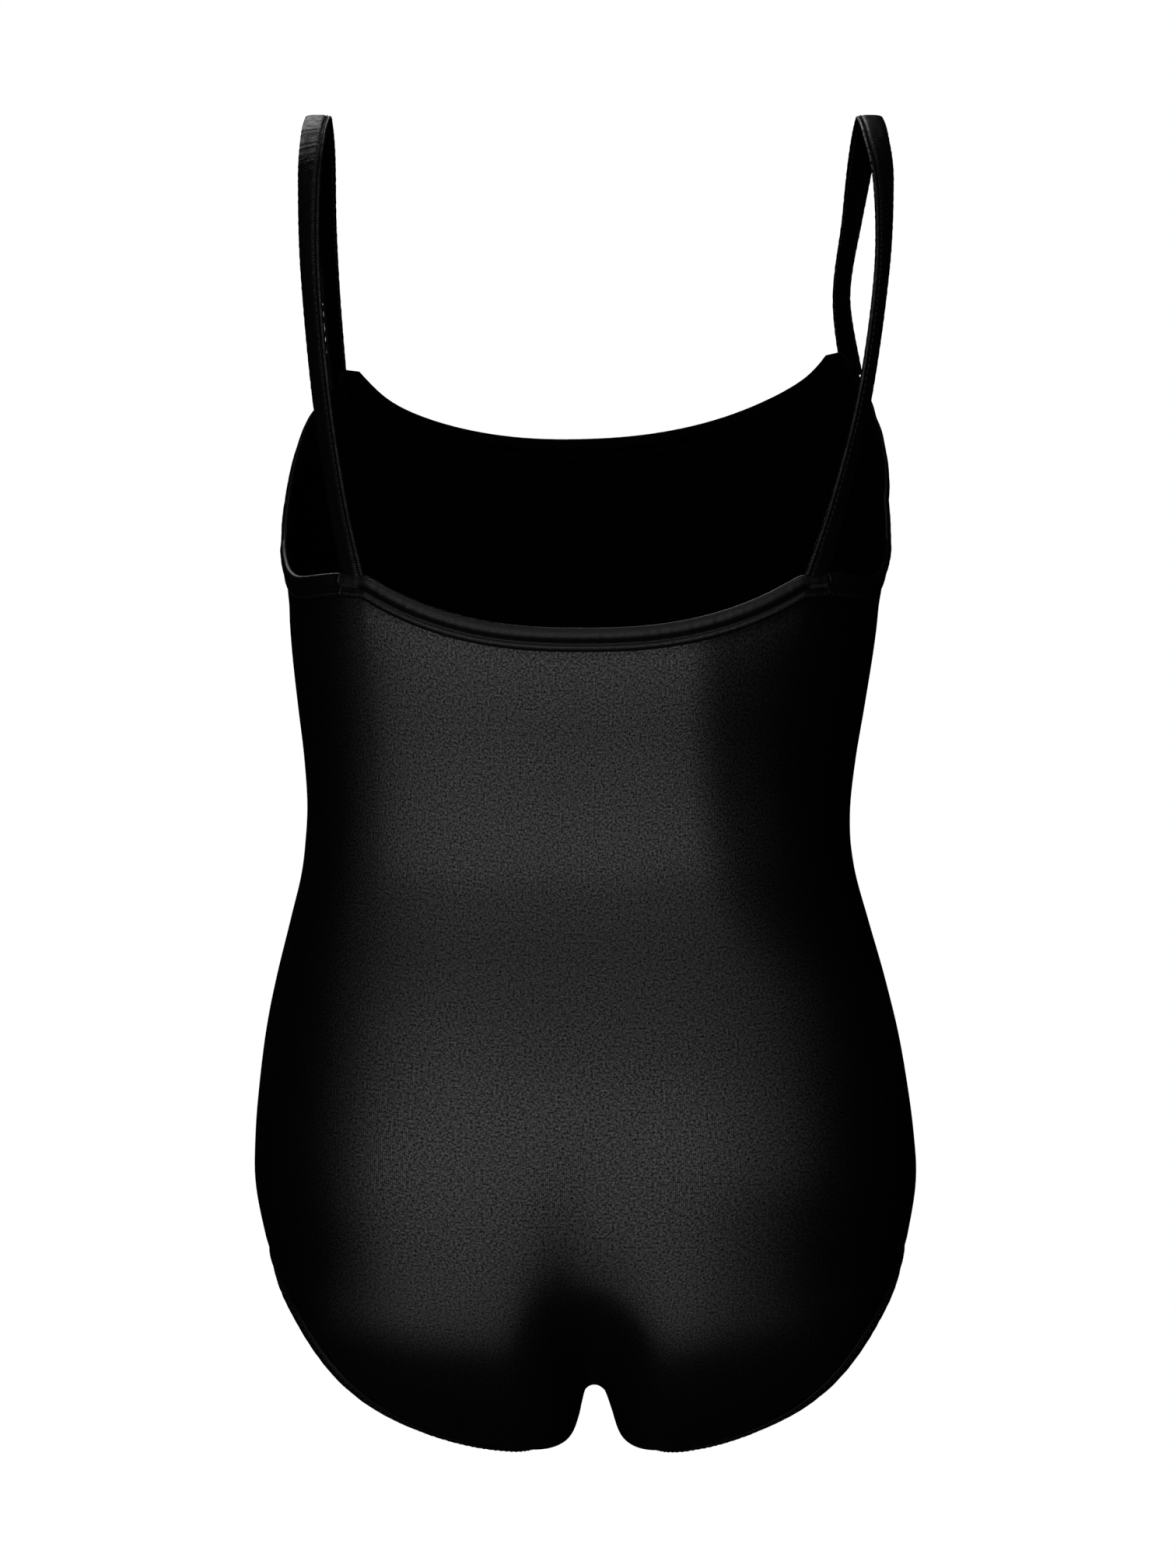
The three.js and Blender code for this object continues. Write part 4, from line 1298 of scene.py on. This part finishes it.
class LEOTARD_OT_straps(bpy.types.Operator):
    """Build both shoulder straps"""

    bl_idname = "leotard.straps"
    bl_label = "Straps"

    def execute(self, context):
        for side in ("left", "right"):
            add_strap(side, context.scene.leotard_cloth, context.scene.leotard_trim)
        return {"FINISHED"}


# ---------------------------------------------------------------- sewn strap ends

ANCHOR_HALF_WIDTH = 4.3
ANCHOR_SPAN = (-6.0, -0.6)
ANCHOR_STATIONS = 24
ANCHOR_SIDES = 20
TACK_STITCHES = 15
TACK_HALF_WIDTH = 3.9
TACK_DOWN = -3.1
TACK_HEIGHT = 1.5
TACK_OUT = 2.05


def add_strap_end(side, end, cloth, trim):
    """The flattened strap end inside the corner and the bar tack that holds it: a row of upright
    stitches side by side, with one long stitch across them at each end of the row."""
    point, out, down, along = corner_frame(end == "back", side, cloth)
    if side == "right":
        point, out, down, along = mirrored(point, out, down, along)
    station = np.linspace(-1, 1, ANCHOR_STATIONS)
    turn = np.linspace(0, 2 * math.pi, ANCHOR_SIDES, endpoint=False)
    middle = sum(ANCHOR_SPAN) / 2
    reach = (ANCHOR_SPAN[1] - ANCHOR_SPAN[0]) / 2
    span = middle + reach * rounded(np.sin(turn), 0.4)
    thick = 0.45 + 0.3 * smoothstep(-span, 1.5, 3.5)
    high = thick * rounded(np.cos(turn), 0.5)
    narrow = (1 - 0.25 * np.abs(station) ** 6)[:, None]
    sections = (point + ANCHOR_HALF_WIDTH * station[:, None, None] * along
                + (high * narrow)[..., None] * out + span[None, :, None] * down)
    points, quads, caps = swept(sections, closed=False)
    uv = np.stack([np.tile(span, ANCHOR_STATIONS),
                   np.repeat(station * ANCHOR_HALF_WIDTH, ANCHOR_SIDES)], axis=-1)
    anchor = add_mesh(f"{side}_{end}_strap_end", points, quads, caps, uv,
                      materials=[strap_finish(trim)])
    stand_for(anchor, "binding_cloth", f"{side}_{end}_strap_anchor")

    places = np.linspace(-TACK_HALF_WIDTH, TACK_HALF_WIDTH, TACK_STITCHES)[:, None]
    start = point + places * along + TACK_OUT * out + (TACK_DOWN - TACK_HEIGHT / 2) * down
    directions = np.broadcast_to(down, start.shape)
    outs = np.broadcast_to(out, start.shape)
    radius = trim.thread / MM / 2
    upright = stitch_points(start, directions, outs, TACK_HEIGHT, 0.1, radius)
    rail = point - TACK_HALF_WIDTH * along + (TACK_OUT - 0.1) * out
    rails = np.stack([rail + (TACK_DOWN + sign * TACK_HEIGHT / 3) * down for sign in (-1, 1)])
    across = stitch_points(rails, np.broadcast_to(along, rails.shape),
                           np.broadcast_to(out, rails.shape), 2 * TACK_HALF_WIDTH, 0.15, radius)
    tack = add_stitches(f"{side}_{end}_tack", [upright, across], thread_finish())
    stand_for(tack, "thread", f"{side}_{end}_bar_tack")


class LEOTARD_OT_strap_ends(bpy.types.Operator):
    """Sew the four strap ends into the corners"""

    bl_idname = "leotard.strap_ends"
    bl_label = "Strap ends"

    def execute(self, context):
        for side in ("left", "right"):
            for end in ("back", "front"):
                add_strap_end(side, end, context.scene.leotard_cloth, context.scene.leotard_trim)
        return {"FINISHED"}


# ---------------------------------------------------------------- stage

FLOOR_Z = -1.3
FLOOR_REACH = 3000
FLOOR_POINTS = 13
CAMERA_X = -0.0007
CAMERA_Z = 0.021
# Each light's place, the point that it faces, and its width and height, in metres.
LIGHTS = {
    "key": ((0.33, 1.26, -0.1), (0, 0, -0.1), (1.5, 2.1)),
    "fill": ((-0.5, 1.1, 0.3), (0, 0, 0.3), (0.85, 1.0)),
    "front": ((0.5, -2.4, 1.6), (0, 0, 0), (0.9, 0.9)),
    "top": ((0, 0.8, 1.8), (0, 0, 0), (1.4, 0.5)),
}
LENS = 200.0
SENSOR = 36.0


def add_area_light(name, place, target, size, power):
    """A soft light of a width and height at a place, turned to a target."""
    data = bpy.data.lights.new(name, "AREA")
    data.shape, data.size, data.size_y, data.energy = "RECTANGLE", *size, power
    light = bpy.data.objects.new(name, data)
    light.visible_camera = False
    bpy.context.scene.collection.objects.link(light)
    light.location = place
    turn = light.location - type(light.location)(target)
    light.rotation_euler = turn.to_track_quat("Z", "Y").to_euler()
    return light


def stage_material():
    """Pale floor: white where the camera looks straight at it, and a dim pale grey to the
    garment, with a faint grain."""
    material = bpy.data.materials.new("pale_floor")
    material.use_nodes = True
    tree = material.node_tree
    shader = tree.nodes["Principled BSDF"]
    shader.inputs["Roughness"].default_value = 0.9
    place = add_node(tree, "ShaderNodeTexCoord").outputs["Object"]
    grain = add_node(tree, "ShaderNodeTexNoise", {"Vector": place, "Scale": 40.0}).outputs["Fac"]
    shade = add_node(tree, "ShaderNodeMapRange", {
        "Value": grain, "To Min": 0.02, "To Max": 0.025}).outputs[0]
    tree.links.new(shade, shader.inputs["Base Color"])
    white = add_node(tree, "ShaderNodeEmission", {"Color": (1, 1, 1, 1), "Strength": 1.0})
    seen = add_node(tree, "ShaderNodeLightPath").outputs["Is Camera Ray"]
    mixed = add_node(tree, "ShaderNodeMixShader", {
        0: seen, 1: shader.outputs[0], 2: white.outputs[0]})
    tree.links.new(mixed.outputs[0], tree.nodes["Material Output"].inputs["Surface"])
    return material


def add_world():
    """A white surround to the camera that is dim to the garment."""
    world = bpy.data.worlds.new("studio")
    world.use_nodes = True
    tree = world.node_tree
    seen = add_node(tree, "ShaderNodeLightPath").outputs["Is Camera Ray"]
    level = add_node(tree, "ShaderNodeMapRange", {"Value": seen, "To Min": 0.0006, "To Max": 1.0})
    tree.links.new(level.outputs[0], tree.nodes["Background"].inputs["Strength"])
    tree.nodes["Background"].inputs["Color"].default_value = (1, 1, 1, 1)
    bpy.context.scene.world = world


class LEOTARD_OT_stage(bpy.types.Operator):
    """Add the pale floor, the soft lights and the camera"""

    bl_idname = "leotard.stage"
    bl_label = "Stage"

    def execute(self, context):
        settings = context.scene.leotard_stage
        across = np.linspace(-FLOOR_REACH, FLOOR_REACH, FLOOR_POINTS)
        x, y = np.meshgrid(across, across, indexing="ij")
        points = np.stack([x, y, 0 * x + FLOOR_Z / MM], axis=-1).reshape(-1, 3)
        floor = add_mesh("floor", points, grid_faces(FLOOR_POINTS, FLOOR_POINTS),
                         materials=[stage_material()])
        add_world()
        scene = context.scene
        scene.view_settings.view_transform = "Standard"
        for name, (place, target, size) in LIGHTS.items():
            add_area_light(name, place, target, size, getattr(settings, name + "_power"))
        data = bpy.data.cameras.new("camera")
        data.lens, data.sensor_width = LENS, SENSOR
        camera = bpy.data.objects.new("camera", data)
        scene.collection.objects.link(camera)
        distance = settings.picture_height * LENS / SENSOR
        camera.location = (CAMERA_X, distance, CAMERA_Z)
        camera.rotation_euler = (math.pi / 2, 0, math.pi)
        data.clip_end = 20
        scene.camera = camera
        return {"FINISHED"}


# ---------------------------------------------------------------- panel and registering

OPERATORS = (
    LEOTARD_OT_panels, LEOTARD_OT_seams, LEOTARD_OT_necks, LEOTARD_OT_armholes, LEOTARD_OT_legs,
    LEOTARD_OT_straps, LEOTARD_OT_strap_ends, LEOTARD_OT_stage,
)


class LEOTARD_PT_sidebar(bpy.types.Panel):
    """Settings and steps of the leotard"""

    bl_idname = "LEOTARD_PT_sidebar"
    bl_label = "Leotard"
    bl_space_type = "VIEW_3D"
    bl_region_type = "UI"
    bl_category = "Leotard"

    def draw(self, context):
        for name in SETTINGS:
            box = self.layout.box()
            group = getattr(context.scene, name)
            for prop in group.bl_rna.properties:
                if prop.identifier not in ("rna_type", "name"):
                    box.prop(group, prop.identifier)
        for operator in OPERATORS:
            self.layout.operator(operator.bl_idname)


def register():
    """Adds the settings, operators and sidebar panel."""
    for kind in (*SETTINGS.values(), *OPERATORS, LEOTARD_PT_sidebar):
        bpy.utils.register_class(kind)
    for name, kind in SETTINGS.items():
        setattr(bpy.types.Scene, name, bpy.props.PointerProperty(type=kind))


def unregister():
    """Takes them away again."""
    for name in SETTINGS:
        delattr(bpy.types.Scene, name)
    for kind in reversed((*SETTINGS.values(), *OPERATORS, LEOTARD_PT_sidebar)):
        bpy.utils.unregister_class(kind)


def main():
    """Registers the add-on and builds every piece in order."""
    register()
    for operator in OPERATORS:
        group, name = operator.bl_idname.split(".")
        getattr(getattr(bpy.ops, group), name)()


if __name__ == "__main__":
    main()
